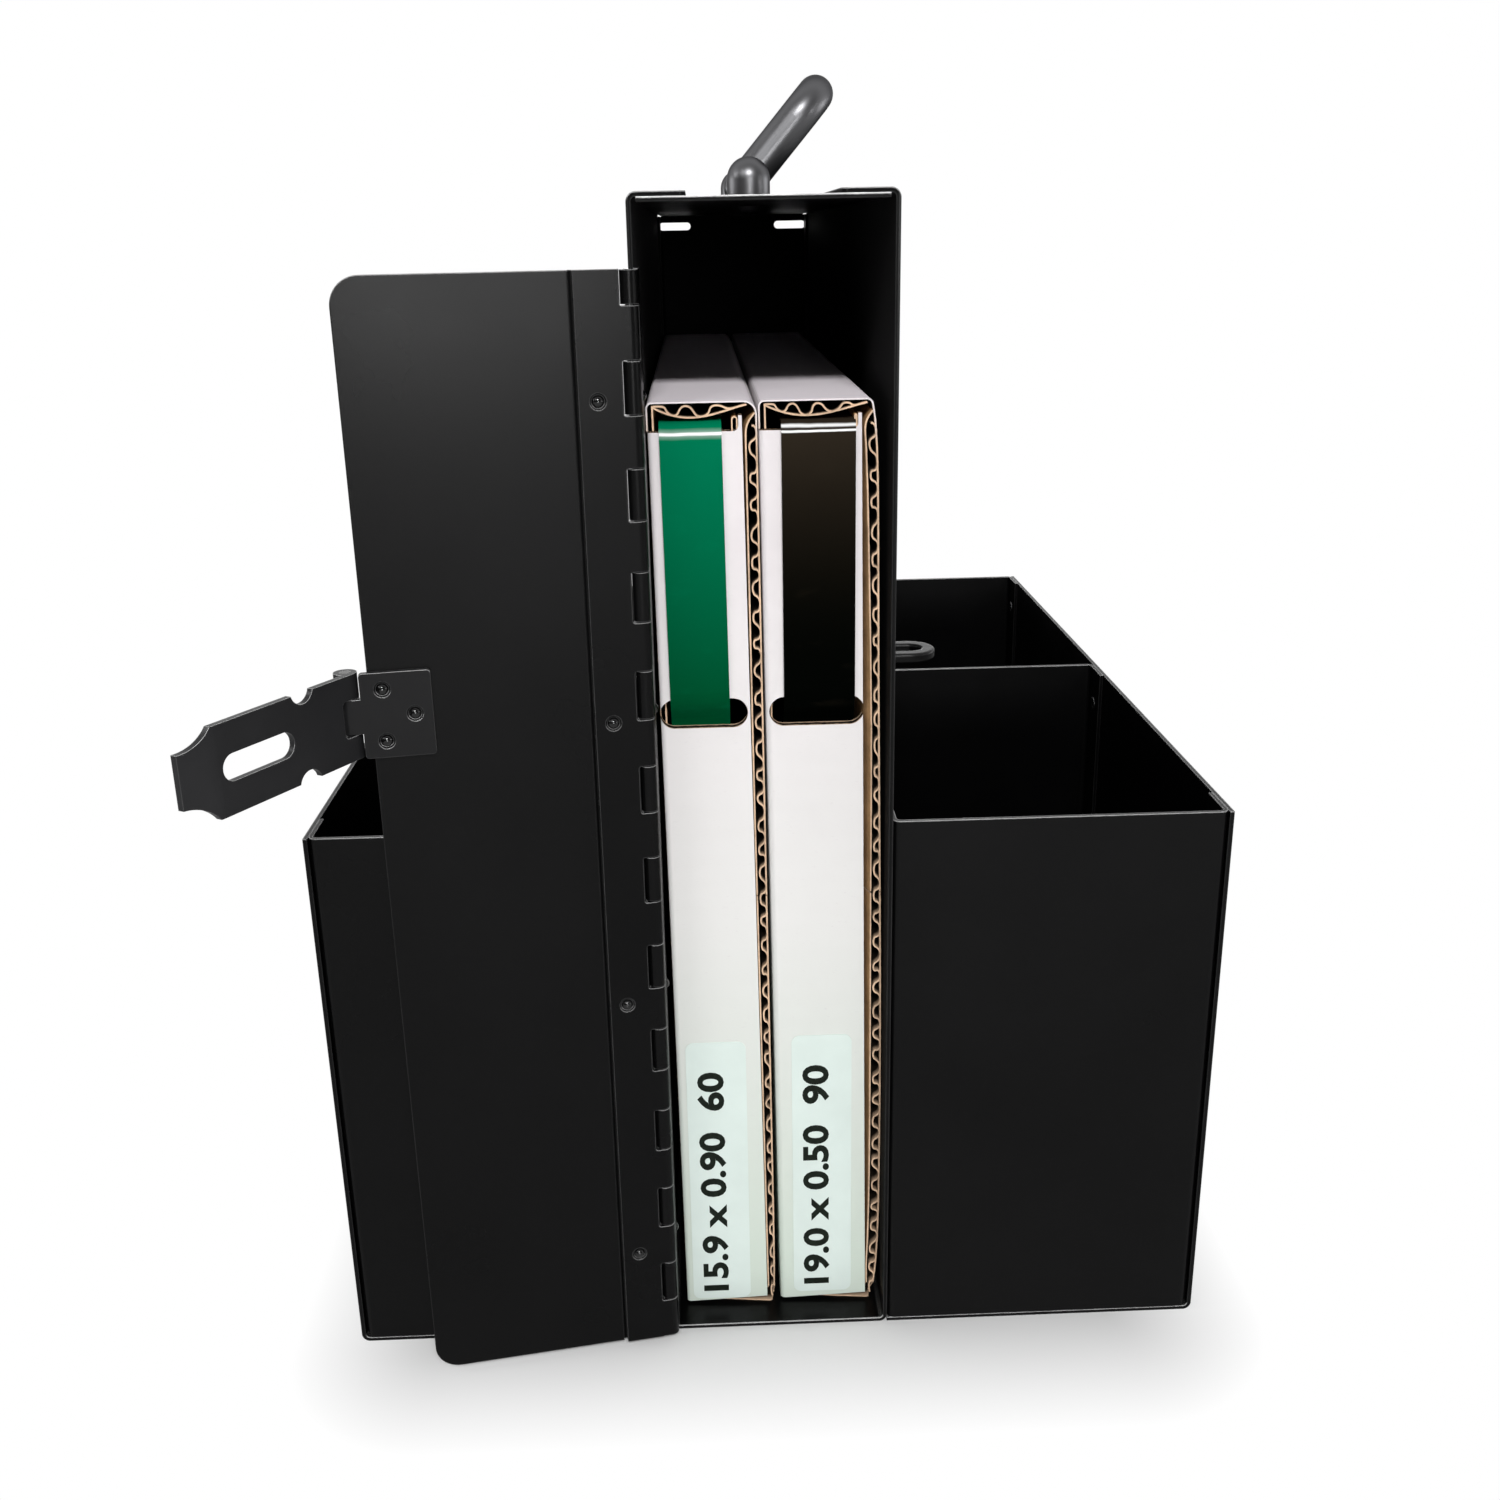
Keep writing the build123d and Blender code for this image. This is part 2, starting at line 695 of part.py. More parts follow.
# Every piece by name
left_carton_shape = (left_carton_bottom, left_carton_top)
right_carton_shape = (right_carton_bottom, right_carton_top)
left_tail = (left_band_width, left_band_inset, left_band_lean_angle)
right_tail = (right_band_width, right_band_inset, right_band_lean_angle)
left_slot = tail_middle(*left_carton_shape, *left_tail) + left_slot_shift
right_slot = tail_middle(*right_carton_shape, *right_tail) + right_slot_shift
right_front = bin_panel(front_y, 1)
right_divider = bin_panel(front_y + front_pocket, -1)
right_back = bin_panel(back_y, -1)
right_shell = bin_shell()
pieces = {
    "compartment_wrap": compartment_wrap(),
    "back_panel": back_panel(),
    "top_plate": top_plate(),
    "staple": staple(),
    "hinge_wall_leaf": hinge_wall_leaf(),
    "hinge_wall_rivets": hinge_wall_rivets(),
    "hinge_pin": hinge_pin_rod(),
    "hinge_door_leaf": hinge_door_leaf(),
    "hinge_door_rivets": hinge_door_rivets(),
    "door_panel": door_panel(),
    "hasp_leaf": hasp_leaf(),
    "hasp_rivets": hasp_rivets(),
    "hasp_pin": hasp_pin_rod(),
    "hasp_strap": hasp_strap(),
    "handle_front_post": handle_post(-1),
    "handle_rear_post": handle_post(1),
    "handle_bar": handle_bar(),
    "left_carton": carton(*left_carton_shape, left_slot_length, left_slot),
    "left_band": band(*left_carton_shape, *left_tail),
    "left_label": label(*left_carton_shape, left_label_inset, left_label_foot),
    "right_carton": carton(*right_carton_shape, right_slot_length, right_slot),
    "right_band": band(*right_carton_shape, *right_tail),
    "right_label": label(*right_carton_shape, right_label_inset, right_label_foot),
    "left_bin_front": mirrored(right_front) - wall_rivet_holes(),
    "left_bin_divider": mirrored(right_divider),
    "left_bin_back": mirrored(right_back),
    "left_bin_shell": mirrored(right_shell),
    "right_bin_front": right_front,
    "right_bin_divider": right_divider,
    "right_bin_back": right_back,
    "right_bin_shell": right_shell,
}

os.makedirs("parts", exist_ok=True)
for name, piece in pieces.items():
    solids = piece if isinstance(piece, list) else [piece]
    group = Compound(children=[solid for item in solids for solid in item.solids()])
    group.label = name
    export_step(group, "parts/" + name + ".step")
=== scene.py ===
import json
import math

import bpy
from bpy.props import FloatProperty, FloatVectorProperty, IntProperty, PointerProperty, StringProperty
from bpy.types import NodeSocket, Operator, Panel, PropertyGroup
from mathutils import Matrix, Vector


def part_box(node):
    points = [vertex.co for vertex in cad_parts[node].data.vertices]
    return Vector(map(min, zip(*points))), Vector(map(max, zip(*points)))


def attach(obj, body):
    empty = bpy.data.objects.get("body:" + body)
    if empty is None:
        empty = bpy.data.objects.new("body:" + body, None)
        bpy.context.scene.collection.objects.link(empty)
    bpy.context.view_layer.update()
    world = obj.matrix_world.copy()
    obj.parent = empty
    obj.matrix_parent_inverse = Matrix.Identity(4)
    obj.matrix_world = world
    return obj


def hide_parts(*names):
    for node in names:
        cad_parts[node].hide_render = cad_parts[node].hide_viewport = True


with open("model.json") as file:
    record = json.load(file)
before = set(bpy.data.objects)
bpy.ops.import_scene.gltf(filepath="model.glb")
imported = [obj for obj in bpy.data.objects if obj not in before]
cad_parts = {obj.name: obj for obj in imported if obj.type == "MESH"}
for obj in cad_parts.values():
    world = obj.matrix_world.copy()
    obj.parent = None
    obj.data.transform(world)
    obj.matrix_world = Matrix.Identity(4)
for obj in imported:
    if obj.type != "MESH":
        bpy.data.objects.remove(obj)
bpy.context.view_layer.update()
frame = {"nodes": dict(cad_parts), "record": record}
nodes = frame["nodes"]

bl_info = {
    "name": "Strapping Tote",
    "version": (1, 0, 0),
    "blender": (4, 5, 0),
    "location": "View3D > Sidebar > Tote",
    "description": "Finishes a black steel strapping tote: coats, cartons, labels, weld marks and a studio",
    "category": "Object",
}

MM = 0.001
WHOLE_TURN = 2 * math.pi

# Two places this close together count as one
NEAR = 0.05 * MM

# A face looks one way if that part of its normal is larger than this
FACING = 0.7

# How each kind of setting is shown
COLOUR = {"subtype": "COLOR", "size": 4}
LENGTH = {"unit": "LENGTH"}
PAIR = {"subtype": "XYZ_LENGTH", "size": 2}


# Settings

class ToteCoatSettings(PropertyGroup):
    """Colours and edges of the coated steel."""

    casing: FloatVectorProperty(
        name="Casing", description="Powder coat of the sheets",
        default=(0.0016, 0.0016, 0.0017, 1), **COLOUR,
    )
    hinge: FloatVectorProperty(
        name="Hinge", description="Coat of the hinge strip and the staple",
        default=(0.002, 0.002, 0.0021, 1), **COLOUR,
    )
    hasp: FloatVectorProperty(
        name="Hasp", description="Coat of the hasp's leaf", default=(0.006, 0.006, 0.0064, 1), **COLOUR,
    )
    # Painted light: the strap is the same coat as the leaf, made lighter to stand in for the light that
    # falls on it.
    strap: FloatProperty(
        name="Strap", description="How much lighter the hasp's strap is than its leaf", default=2.2,
    )
    rivet: FloatVectorProperty(
        name="Rivet", description="Coat of the rivets and pins",
        default=(0.001, 0.001, 0.0011, 1), **COLOUR,
    )
    handle: FloatVectorProperty(
        name="Handle", description="Grey coat of the handle", default=(0.13, 0.13, 0.135, 1), **COLOUR,
    )
    rim: FloatProperty(
        name="Rim", description="Width of the rounded edge that catches light", default=0.5 * MM, **LENGTH,
    )
    gap: FloatVectorProperty(
        name="Gap", description="Width and depth of the gap beside the hinge leaf",
        default=(1.0 * MM, 0.8 * MM), **PAIR,
    )
    peel: FloatProperty(
        name="Peel", description="Size of the dimples in the powder coat", default=0.9 * MM, **LENGTH,
    )


class ToteCartonSettings(PropertyGroup):
    """Sizes and colours of the corrugated cartons, their band and their labels.

    A pair of sizes is that of the left carton and that of the right one.
    """

    board: FloatProperty(name="Board", description="Thickness of the board", default=3.0 * MM, **LENGTH)
    liner: FloatProperty(
        name="Liner", description="Thickness of one paper liner", default=0.42 * MM, **LENGTH,
    )
    medium: FloatProperty(
        name="Medium", description="Thickness of the fluted paper", default=0.45 * MM, **LENGTH,
    )
    pitch: FloatProperty(name="Pitch", description="Length of one flute", default=7.4 * MM, **LENGTH)
    side_lean: FloatProperty(
        name="Side Lean", description="How far a side's flutes lean over", default=0.32,
    )
    top_lean: FloatProperty(name="Top Lean", description="How far a top's flutes lean over", default=0.22)
    fold: FloatProperty(
        name="Fold", description="Radius of most of the folds", default=1.6 * MM, **LENGTH,
    )
    bulge: FloatVectorProperty(
        name="Bulge", description="Radius of the fold at the top right",
        default=(3.4 * MM, 1.8 * MM), **PAIR,
    )
    swell: FloatVectorProperty(
        name="Swell", description="How far the right side bows out", default=(0.0, 1.35 * MM), **PAIR,
    )
    foot_tuck: FloatVectorProperty(
        name="Foot Tuck", description="How far the right side is drawn in at the foot",
        default=(0.4 * MM, 2.4 * MM), **PAIR,
    )
    head_tuck: FloatVectorProperty(
        name="Head Tuck", description="How far the right side is drawn in at the head",
        default=(0.0, 1.6 * MM), **PAIR,
    )
    edge: FloatVectorProperty(
        name="Edge", description="Thickness of the right side at its cut edge",
        default=(3.2 * MM, 3.4 * MM), **PAIR,
    )
    dip: FloatVectorProperty(
        name="Dip", description="How far that edge is crushed", default=(0.0, 0.9 * MM), **PAIR,
    )
    flap_foot_inset: FloatVectorProperty(
        name="Flap Foot Inset", description="From the right side to the flap at the foot",
        default=(2.6 * MM, 3.2 * MM), **PAIR,
    )
    flap_head_inset: FloatVectorProperty(
        name="Flap Head Inset", description="From the right side to the flap at the head",
        default=(3.9 * MM, 4.4 * MM), **PAIR,
    )
    loop: FloatVectorProperty(
        name="Loop", description="Width of the dust flap's folded edge",
        default=(1.6 * MM, 0.8 * MM), **PAIR,
    )
    press: FloatProperty(
        name="Press", description="How deep the crushed edge runs back", default=5.0 * MM, **LENGTH,
    )
    crush: FloatProperty(
        name="Crush", description="Thickness of the crushed left side", default=1.5 * MM, **LENGTH,
    )
    sag: FloatProperty(
        name="Sag", description="How far the top's inner liner hangs", default=2.9 * MM, **LENGTH,
    )
    flap_foot: FloatProperty(
        name="Flap Foot", description="From the carton's foot to its front flap",
        default=0.9 * MM, **LENGTH,
    )
    flap_rise: FloatProperty(
        name="Flap Rise", description="How much higher the flap's foot is on the right",
        default=1.0 * MM, **LENGTH,
    )
    lip: FloatProperty(
        name="Lip", description="Width of the flap beside the window", default=0.9 * MM, **LENGTH,
    )
    lip_corner: FloatProperty(
        name="Lip Corner", description="Radius of the window's lower right corner",
        default=1.4 * MM, **LENGTH,
    )
    window: FloatProperty(
        name="Window", description="Gap over the front flap where the band comes out",
        default=4.6 * MM, **LENGTH,
    )
    slot_drop: FloatProperty(
        name="Slot Drop", description="From the flap's top edge to the foot of its slot",
        default=79.1 * MM, **LENGTH,
    )
    slot_height: FloatProperty(
        name="Slot Height", description="Height of the slot", default=8.2 * MM, **LENGTH,
    )
    crease: FloatProperty(
        name="Crease", description="Gap at the glued seam, and half the width of a crease",
        default=0.5 * MM, **LENGTH,
    )
    white: FloatVectorProperty(
        name="White", description="Bleached outer liner", default=(0.66, 0.622, 0.632, 1), **COLOUR,
    )
    white_waist: FloatVectorProperty(
        name="White Waist", description="The same liner half way down",
        default=(0.66, 0.655, 0.64, 1), **COLOUR,
    )
    white_foot: FloatVectorProperty(
        name="White Foot", description="The same liner at its foot",
        default=(0.55, 0.62, 0.55, 1), **COLOUR,
    )
    # Painted light: the tops take a lighter colour than the fronts of the same liner, standing in for the
    # light they catch.
    lit_top: FloatVectorProperty(
        name="Lit Top", description="Liner on the tops, painted lighter for the light they catch", default=(0.98, 0.91, 0.955, 1), **COLOUR,
    )
    kraft: FloatVectorProperty(
        name="Kraft", description="Brown inner paper", default=(0.45, 0.265, 0.125, 1), **COLOUR,
    )
    fresh: FloatVectorProperty(
        name="Fresh Cut", description="Tan of a freshly cut edge", default=(0.55, 0.39, 0.265, 1), **COLOUR,
    )
    # Painted shade: the near-black that the flute paper turns to deeper than reach, where little light gets
    # in.
    flute_hollow_shade: FloatVectorProperty(
        name="Flute Shade", description="Paper deep inside the flutes",
        default=(0.01, 0.006, 0.003, 1), **COLOUR,
    )
    reach: FloatProperty(
        name="Reach", description="How deep light reaches into the flutes", default=2.6 * MM, **LENGTH,
    )
    paper: FloatVectorProperty(
        name="Paper", description="Label paper", default=(0.636, 0.722, 0.682, 1), **COLOUR,
    )
    ink: FloatVectorProperty(
        name="Ink", description="Label numbers", default=(0.006, 0.009, 0.006, 1), **COLOUR,
    )
    # Band colours at the top and at the foot: the lighter top is a painted sheen.
    green: FloatVectorProperty(
        name="Green Band", description="Coat of the narrow band", default=(0.0, 0.14, 0.064, 1), **COLOUR,
    )
    green_foot: FloatVectorProperty(
        name="Green Foot", description="The narrow band low down", default=(0.0, 0.058, 0.019, 1), **COLOUR,
    )
    black: FloatVectorProperty(
        name="Black Band", description="Coat of the wide band", default=(0.02, 0.015, 0.01, 1), **COLOUR,
    )
    black_foot: FloatVectorProperty(
        name="Black Foot", description="The wide band low down",
        default=(0.0005, 0.0008, 0.0005, 1), **COLOUR,
    )
    # Painted highlight: the bright line along a band's bend.
    bend: FloatVectorProperty(
        name="Bend", description="Bright line where a band bends", default=(0.95, 0.96, 0.96, 1), **COLOUR,
    )
    left_mark: StringProperty(
        name="Left Mark", description="Plain size numbers on the left label", default="15.9 x 0.90  60",
    )
    right_mark: StringProperty(
        name="Right Mark", description="Plain size numbers on the right label", default="19.0 x 0.50  90",
    )
    mark_height: FloatProperty(
        name="Mark Height", description="Height of a numeral", default=7.2 * MM, **LENGTH,
    )


class ToteWeldSettings(PropertyGroup):
    """Spot-weld marks on the bins."""

    radius: FloatProperty(name="Radius", description="Radius of a weld mark", default=2.6 * MM, **LENGTH)
    height: FloatProperty(
        name="Height", description="How far a mark stands proud", default=0.12 * MM, **LENGTH,
    )
    rows: IntProperty(name="Rows", description="Welds down one return", default=3, min=2)
    margin: FloatProperty(
        name="Margin", description="From a return's end to its first weld", default=13 * MM, **LENGTH,
    )
    inset: FloatProperty(
        name="Inset", description="From a return's edge to its welds", default=7.5 * MM, **LENGTH,
    )


class ToteStudioSettings(PropertyGroup):
    """Camera, light and floor."""

    place: FloatVectorProperty(
        name="Place", description="Where the camera stands", subtype="TRANSLATION", size=3,
        default=(-17.27 * MM, -534.2 * MM, 315.23 * MM),
    )
    yaw: FloatProperty(
        name="Yaw", description="Turn to the right", subtype="ANGLE", default=math.radians(1.7245),
    )
    pitch: FloatProperty(
        name="Pitch", description="Tilt down", subtype="ANGLE", default=math.radians(18.7375),
    )
    roll: FloatProperty(
        name="Roll", description="Roll about the view", subtype="ANGLE", default=math.radians(-1.0836),
    )
    lens: FloatProperty(name="Lens", description="Focal length in millimetres", default=36.57)
    ambient: FloatProperty(name="Ambient", description="Strength of the room's light", default=0.16)
    behind: FloatProperty(
        name="Behind", description="Brightness of the room behind the camera", default=0.15,
    )
    floor: FloatVectorProperty(
        name="Floor", description="Colour of the floor", default=(0.67, 0.67, 0.67, 1), **COLOUR,
    )
    footprint: FloatVectorProperty(
        name="Footprint", description="Width and depth of the shaded floor under the tote",
        default=(200 * MM, 304 * MM), **PAIR,
    )
    shade: FloatProperty(
        name="Shade", description="How far the shade reaches past the footprint", default=46 * MM, **LENGTH,
    )
    key: FloatProperty(name="Key", description="High front softbox in watts", default=24.0)
    strip: FloatProperty(name="Strip", description="Low front strip in watts", default=5.2)
    kicker: FloatProperty(name="Kicker", description="Softbox at the upper left in watts", default=2.6)
    left: FloatProperty(name="Left", description="Small softbox on the left in watts", default=1.5)
    right: FloatProperty(name="Right", description="Small softbox on the right in watts", default=0.8)
    flank: FloatProperty(name="Flank", description="Low softbox at each side in watts", default=5.0)
    rear: FloatProperty(name="Rear", description="Low softbox at the back in watts", default=2.5)


# Adding, naming and finishing

def only(obj):
    """Selects one object and makes it active."""
    bpy.ops.object.select_all(action="DESELECT")
    obj.select_set(True)
    bpy.context.view_layer.objects.active = obj


def take(name):
    """Names the active object and its data."""
    obj = bpy.context.active_object
    obj.name = name
    obj.data.name = name
    return obj


def added(name, add, **options):
    """Adds an object with nothing else selected, and names it."""
    bpy.ops.object.select_all(action="DESELECT")
    add(**options)
    return take(name)


def choose(obj, kind, test):
    """Goes into edit mode with only the edges or faces of a mesh selected that pass a test."""
    only(obj)
    bpy.ops.object.mode_set(mode="EDIT")
    bpy.ops.mesh.select_all(action="DESELECT")
    bpy.ops.object.mode_set(mode="OBJECT")
    for item in obj.data.edges if kind == "EDGE" else obj.data.polygons:
        item.select = test(item)
    bpy.ops.object.mode_set(mode="EDIT")
    bpy.ops.mesh.select_mode(type=kind)


def choose_all(obj):
    """Goes into edit mode with the whole mesh selected."""
    only(obj)
    bpy.ops.object.mode_set(mode="EDIT")
    bpy.ops.mesh.select_all(action="SELECT")


def leave_edit():
    """Goes back to object mode."""
    bpy.ops.object.mode_set(mode="OBJECT")


def apply_all(obj):
    """Applies a piece's modifiers from the top down."""
    only(obj)
    for modifier in list(obj.modifiers):
        bpy.ops.object.modifier_apply(modifier=modifier.name)


def carve(obj, cutter):
    """Cuts a closed shape out of a piece, and removes that shape."""
    cut = obj.modifiers.new("Cut", "BOOLEAN")
    cut.object = cutter
    cut.operation = "DIFFERENCE"
    cut.solver = "EXACT"
    apply_all(obj)
    bpy.data.objects.remove(cutter)


def joined(name, pieces):
    """Several meshes made one piece."""
    only(pieces[0])
    for piece in pieces:
        piece.select_set(True)
    bpy.ops.object.join()
    return take(name)


def paint(obj, *materials):
    """Gives a piece its materials, in slot order."""
    obj.data.materials.clear()
    for material in materials:
        obj.data.materials.append(material)


def smooth(obj, angle=35):
    """Smooth shading across the gentle edges only."""
    only(obj)
    bpy.ops.object.shade_smooth_by_angle(angle=math.radians(angle))


def seat(obj, body):
    """Puts a finished piece on its body."""
    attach(obj, body)


# Node helpers

def start_material(name):
    """A material with one shader, and the place of a point on the piece that it is on."""
    material = bpy.data.materials.new(name)
    material.use_nodes = True
    tree = material.node_tree
    tree.nodes.clear()
    output = tree.nodes.new("ShaderNodeOutputMaterial")
    shader = tree.nodes.new("ShaderNodeBsdfPrincipled")
    tree.links.new(shader.outputs[0], output.inputs["Surface"])
    place = tree.nodes.new("ShaderNodeTexCoord")
    return material, tree, shader, place.outputs["Object"]


def plug(tree, value, socket):
    """Links a value that comes from a node to a socket, or sets a plain one there."""
    if isinstance(value, NodeSocket):
        tree.links.new(value, socket)
    else:
        socket.default_value = value


def calculate(tree, kind, operation, values):
    """A node that works something out from its first inputs."""
    node = tree.nodes.new(kind)
    node.operation = operation
    for value, socket in zip(values, node.inputs):
        plug(tree, value, socket)
    return node.outputs


def number(tree, operation, *values):
    """A sum, product or the like of numbers."""
    return calculate(tree, "ShaderNodeMath", operation, values)[0]


def vector(tree, operation, *values):
    """The same for vectors. The outputs give a vector and a number."""
    return calculate(tree, "ShaderNodeVectorMath", operation, values)


def axes(tree, place):
    """The X, Y and Z of a vector."""
    node = tree.nodes.new("ShaderNodeSeparateXYZ")
    tree.links.new(place, node.inputs[0])
    return node.outputs


def off(tree, value, line):
    """How far a value lies to either side of a line."""
    return number(tree, "ABSOLUTE", number(tree, "SUBTRACT", value, line))


def noise(tree, place, size, detail=3.0, roughness=0.5):
    """Noise whose features are about size metres across."""
    node = tree.nodes.new("ShaderNodeTexNoise")
    node.inputs["Scale"].default_value = 1 / size
    node.inputs["Detail"].default_value = detail
    node.inputs["Roughness"].default_value = roughness
    tree.links.new(place, node.inputs["Vector"])
    return node.outputs[0]


def stretched(tree, place, scale):
    """Coordinates scaled along each axis, for grain that runs one way."""
    node = tree.nodes.new("ShaderNodeMapping")
    node.inputs["Scale"].default_value = scale
    tree.links.new(place, node.inputs["Vector"])
    return node.outputs[0]


def spread(tree, value, low, high, to_low=0.0, to_high=1.0):
    """Maps a value from one range to another, held at both ends."""
    node = tree.nodes.new("ShaderNodeMapRange")
    node.inputs["From Min"].default_value = low
    node.inputs["From Max"].default_value = high
    node.inputs["To Min"].default_value = to_low
    node.inputs["To Max"].default_value = to_high
    tree.links.new(value, node.inputs["Value"])
    return node.outputs[0]


def patches(tree, value):
    """Noise drawn out into patches, from nought to one."""
    return spread(tree, value, 0.35, 0.65)


def vary(tree, value, low, high):
    """Noise turned into a value that varies between two others."""
    return spread(tree, value, 0.3, 0.7, low, high)


def blend_colour(tree, factor, first, second):
    """Mixes two colours, each a tuple or a socket."""
    node = tree.nodes.new("ShaderNodeMix")
    node.data_type = "RGBA"
    tree.links.new(factor, node.inputs["Factor"])
    sockets = [socket for socket in node.inputs if socket.type == "RGBA"]
    for colour, socket in zip((first, second), sockets):
        plug(tree, colour, socket)
    return [socket for socket in node.outputs if socket.type == "RGBA"][0]


def relief(tree, height, depth, strength, under=None):
    """Bump of a given depth over an optional normal."""
    node = tree.nodes.new("ShaderNodeBump")
    node.inputs["Strength"].default_value = strength
    node.inputs["Distance"].default_value = depth
    tree.links.new(height, node.inputs["Height"])
    if under is not None:
        tree.links.new(under, node.inputs["Normal"])
    return node.outputs["Normal"]


def dress(tree, shader, colour, roughness, gloss, normal=None):
    """Gives a shader its colour, roughness, gloss and bumps. The gloss is the same all over."""
    plug(tree, colour, shader.inputs["Base Color"])
    plug(tree, roughness, shader.inputs["Roughness"])
    shader.inputs["Specular IOR Level"].default_value = gloss
    if normal is not None:
        tree.links.new(normal, shader.inputs["Normal"])


def mix_shaders(tree, factor, first, second, output):
    """Shows one shader or another at an output."""
    mixed = tree.nodes.new("ShaderNodeMixShader")
    for value, socket in zip((factor, first.outputs[0], second.outputs[0]), mixed.inputs):
        tree.links.new(value, socket)
    tree.links.new(mixed.outputs[0], output.inputs["Surface"])


def scaled(colour, factor):
    """A colour made lighter or darker."""
    return tuple(channel * factor for channel in colour[:3]) + (1,)


# Materials

def edge_mask(tree, radius):
    """A rounded normal for sharp sheet edges, and a mask that is one along them."""
    rounded = tree.nodes.new("ShaderNodeBevel")
    rounded.samples = 6
    rounded.inputs["Radius"].default_value = radius
    flat = tree.nodes.new("ShaderNodeNewGeometry")
    normal = rounded.outputs["Normal"]
    same = vector(tree, "DOT_PRODUCT", normal, flat.outputs["True Normal"])["Value"]
    return normal, spread(tree, same, 0.999, 0.95)


def coated_steel(
    name, colour, rim, peel, roughness, gloss, wear_and_highlight, upward_wear_and_highlight,
    metal=0.0, tint=1.0, bumps=0.35, matt_inside=None,
):
    """Coated steel: fine peel in the coat, cloudy gloss, and lighter edges, partly wear of the coat and
    partly painted highlight.

    rim is the width of those edges; the next two numbers give their grey at the sides and where they face
    up, which takes more painted highlight.
    Walls nearer to the middle plane than matt_inside are matt.
    """
    material, tree, shader, place = start_material(name)
    rounded, edges = edge_mask(tree, rim)
    cloud = noise(tree, place, 60 * MM, detail=4.0, roughness=0.55)
    edge_breakup = noise(tree, place, 9 * MM, detail=4.0, roughness=0.6)
    shade = blend_colour(tree, patches(tree, cloud), scaled(colour, 0.8), scaled(colour, 1.25))
    # Edges are lighter, partly from wear of the coat and partly painted highlight; those that face up take
    # more painted highlight.
    wear_and_highlight_mask = number(tree, "MULTIPLY", edges, spread(tree, edge_breakup, 0.35, 0.6, 0.7, 1.0))
    upward = spread(tree, axes(tree, rounded)["Z"], 0.04, 0.3)
    edge_wear_and_highlight = blend_colour(tree, upward, (wear_and_highlight, wear_and_highlight, wear_and_highlight, 1), (upward_wear_and_highlight, upward_wear_and_highlight, upward_wear_and_highlight, 1))
    dull = vary(tree, cloud, roughness * 0.88, roughness * 1.12)
    if matt_inside is not None:
        dull = number(tree, "MAXIMUM", dull, matt_walls(tree, place, matt_inside))
    normal = None
    if bumps:
        fine = noise(tree, place, peel, detail=2.0)
        normal = relief(tree, fine, depth=0.03 * MM, strength=bumps, under=rounded)
    dress(tree, shader, blend_colour(tree, wear_and_highlight_mask, shade, edge_wear_and_highlight), dull, gloss, normal)
    shader.inputs["Specular Tint"].default_value = (tint, tint, tint, 1)
    shader.inputs["Metallic"].default_value = metal
    return material


def matt_walls(tree, place, half_width):
    """Roughness of walls nearer to the middle plane than half_width. It fades out towards the floor."""
    near = axes(tree, vector(tree, "ABSOLUTE", place)["Vector"])
    inner = spread(tree, near["X"], half_width - 0.2 * MM, half_width + 0.2 * MM, 0.9, 0.0)
    return number(tree, "MULTIPLY", inner, spread(tree, near["Z"], 4 * MM, 16 * MM))


def white_liner(sizes):
    """Bleached liner: paper fibre, a faint shadow of the flutes, a tone that changes low down, and painted
    light on the faces that look up.
    """
    material, tree, shader, place = start_material("Bleached Liner")
    fibre = noise(tree, stretched(tree, place, (1, 1, 2.5)), 1.6 * MM, detail=5.0, roughness=0.65)
    cloud = noise(tree, place, 28 * MM, detail=4.0, roughness=0.6)
    height = axes(tree, place)["Z"]
    pale = blend_colour(tree, patches(tree, cloud), sizes.white, scaled(sizes.white, 0.94))
    waist = blend_colour(tree, spread(tree, height, 240 * MM, 130 * MM), pale, sizes.white_waist)
    toned = blend_colour(tree, spread(tree, height, 130 * MM, 20 * MM), waist, sizes.white_foot)
    speck = spread(tree, fibre, 0.62, 0.78, 0.0, 0.5)
    front = blend_colour(tree, speck, toned, scaled(sizes.white, 0.8))
    facing = tree.nodes.new("ShaderNodeNewGeometry")
    # Faces that look up take the lighter top colour: painted light.
    lit_top = spread(tree, axes(tree, facing.outputs["True Normal"])["Z"], 0.5, 0.9)
    flutes = tree.nodes.new("ShaderNodeTexWave")
    flutes.bands_direction = "Z"
    flutes.inputs["Scale"].default_value = WHOLE_TURN / (20 * sizes.pitch)
    flutes.inputs["Distortion"].default_value = 0.6
    tree.links.new(place, flutes.inputs["Vector"])
    wavy = relief(tree, flutes.outputs["Fac"], depth=0.12 * MM, strength=0.25)
    grain = relief(tree, fibre, depth=0.05 * MM, strength=0.3, under=wavy)
    dress(tree, shader, blend_colour(tree, lit_top, front, sizes.lit_top), roughness=0.62, gloss=0.3, normal=grain)
    return material


def kraft_paper(name, colour, second=None, axis=None, start=0.0, end=0.0):
    """Brown paper with long fibres and darker blotches. Along an axis it may turn into a second colour."""
    material, tree, shader, place = start_material(name)
    fibre = noise(tree, stretched(tree, place, (1, 3, 1)), 0.9 * MM, detail=5.0, roughness=0.7)
    blotch = noise(tree, place, 6 * MM, detail=4.0, roughness=0.6)
    tone = blend_colour(tree, patches(tree, blotch), scaled(colour, 0.72), scaled(colour, 1.2))
    shade = blend_colour(tree, spread(tree, fibre, 0.4, 0.75, 0.0, 0.6), tone, scaled(colour, 1.45))
    if axis is not None:
        shade = blend_colour(tree, spread(tree, axes(tree, place)[axis], start, end), shade, second)
    grain = relief(tree, fibre, depth=0.1 * MM, strength=0.4)
    dress(tree, shader, shade, roughness=0.85, gloss=0.15, normal=grain)
    return material


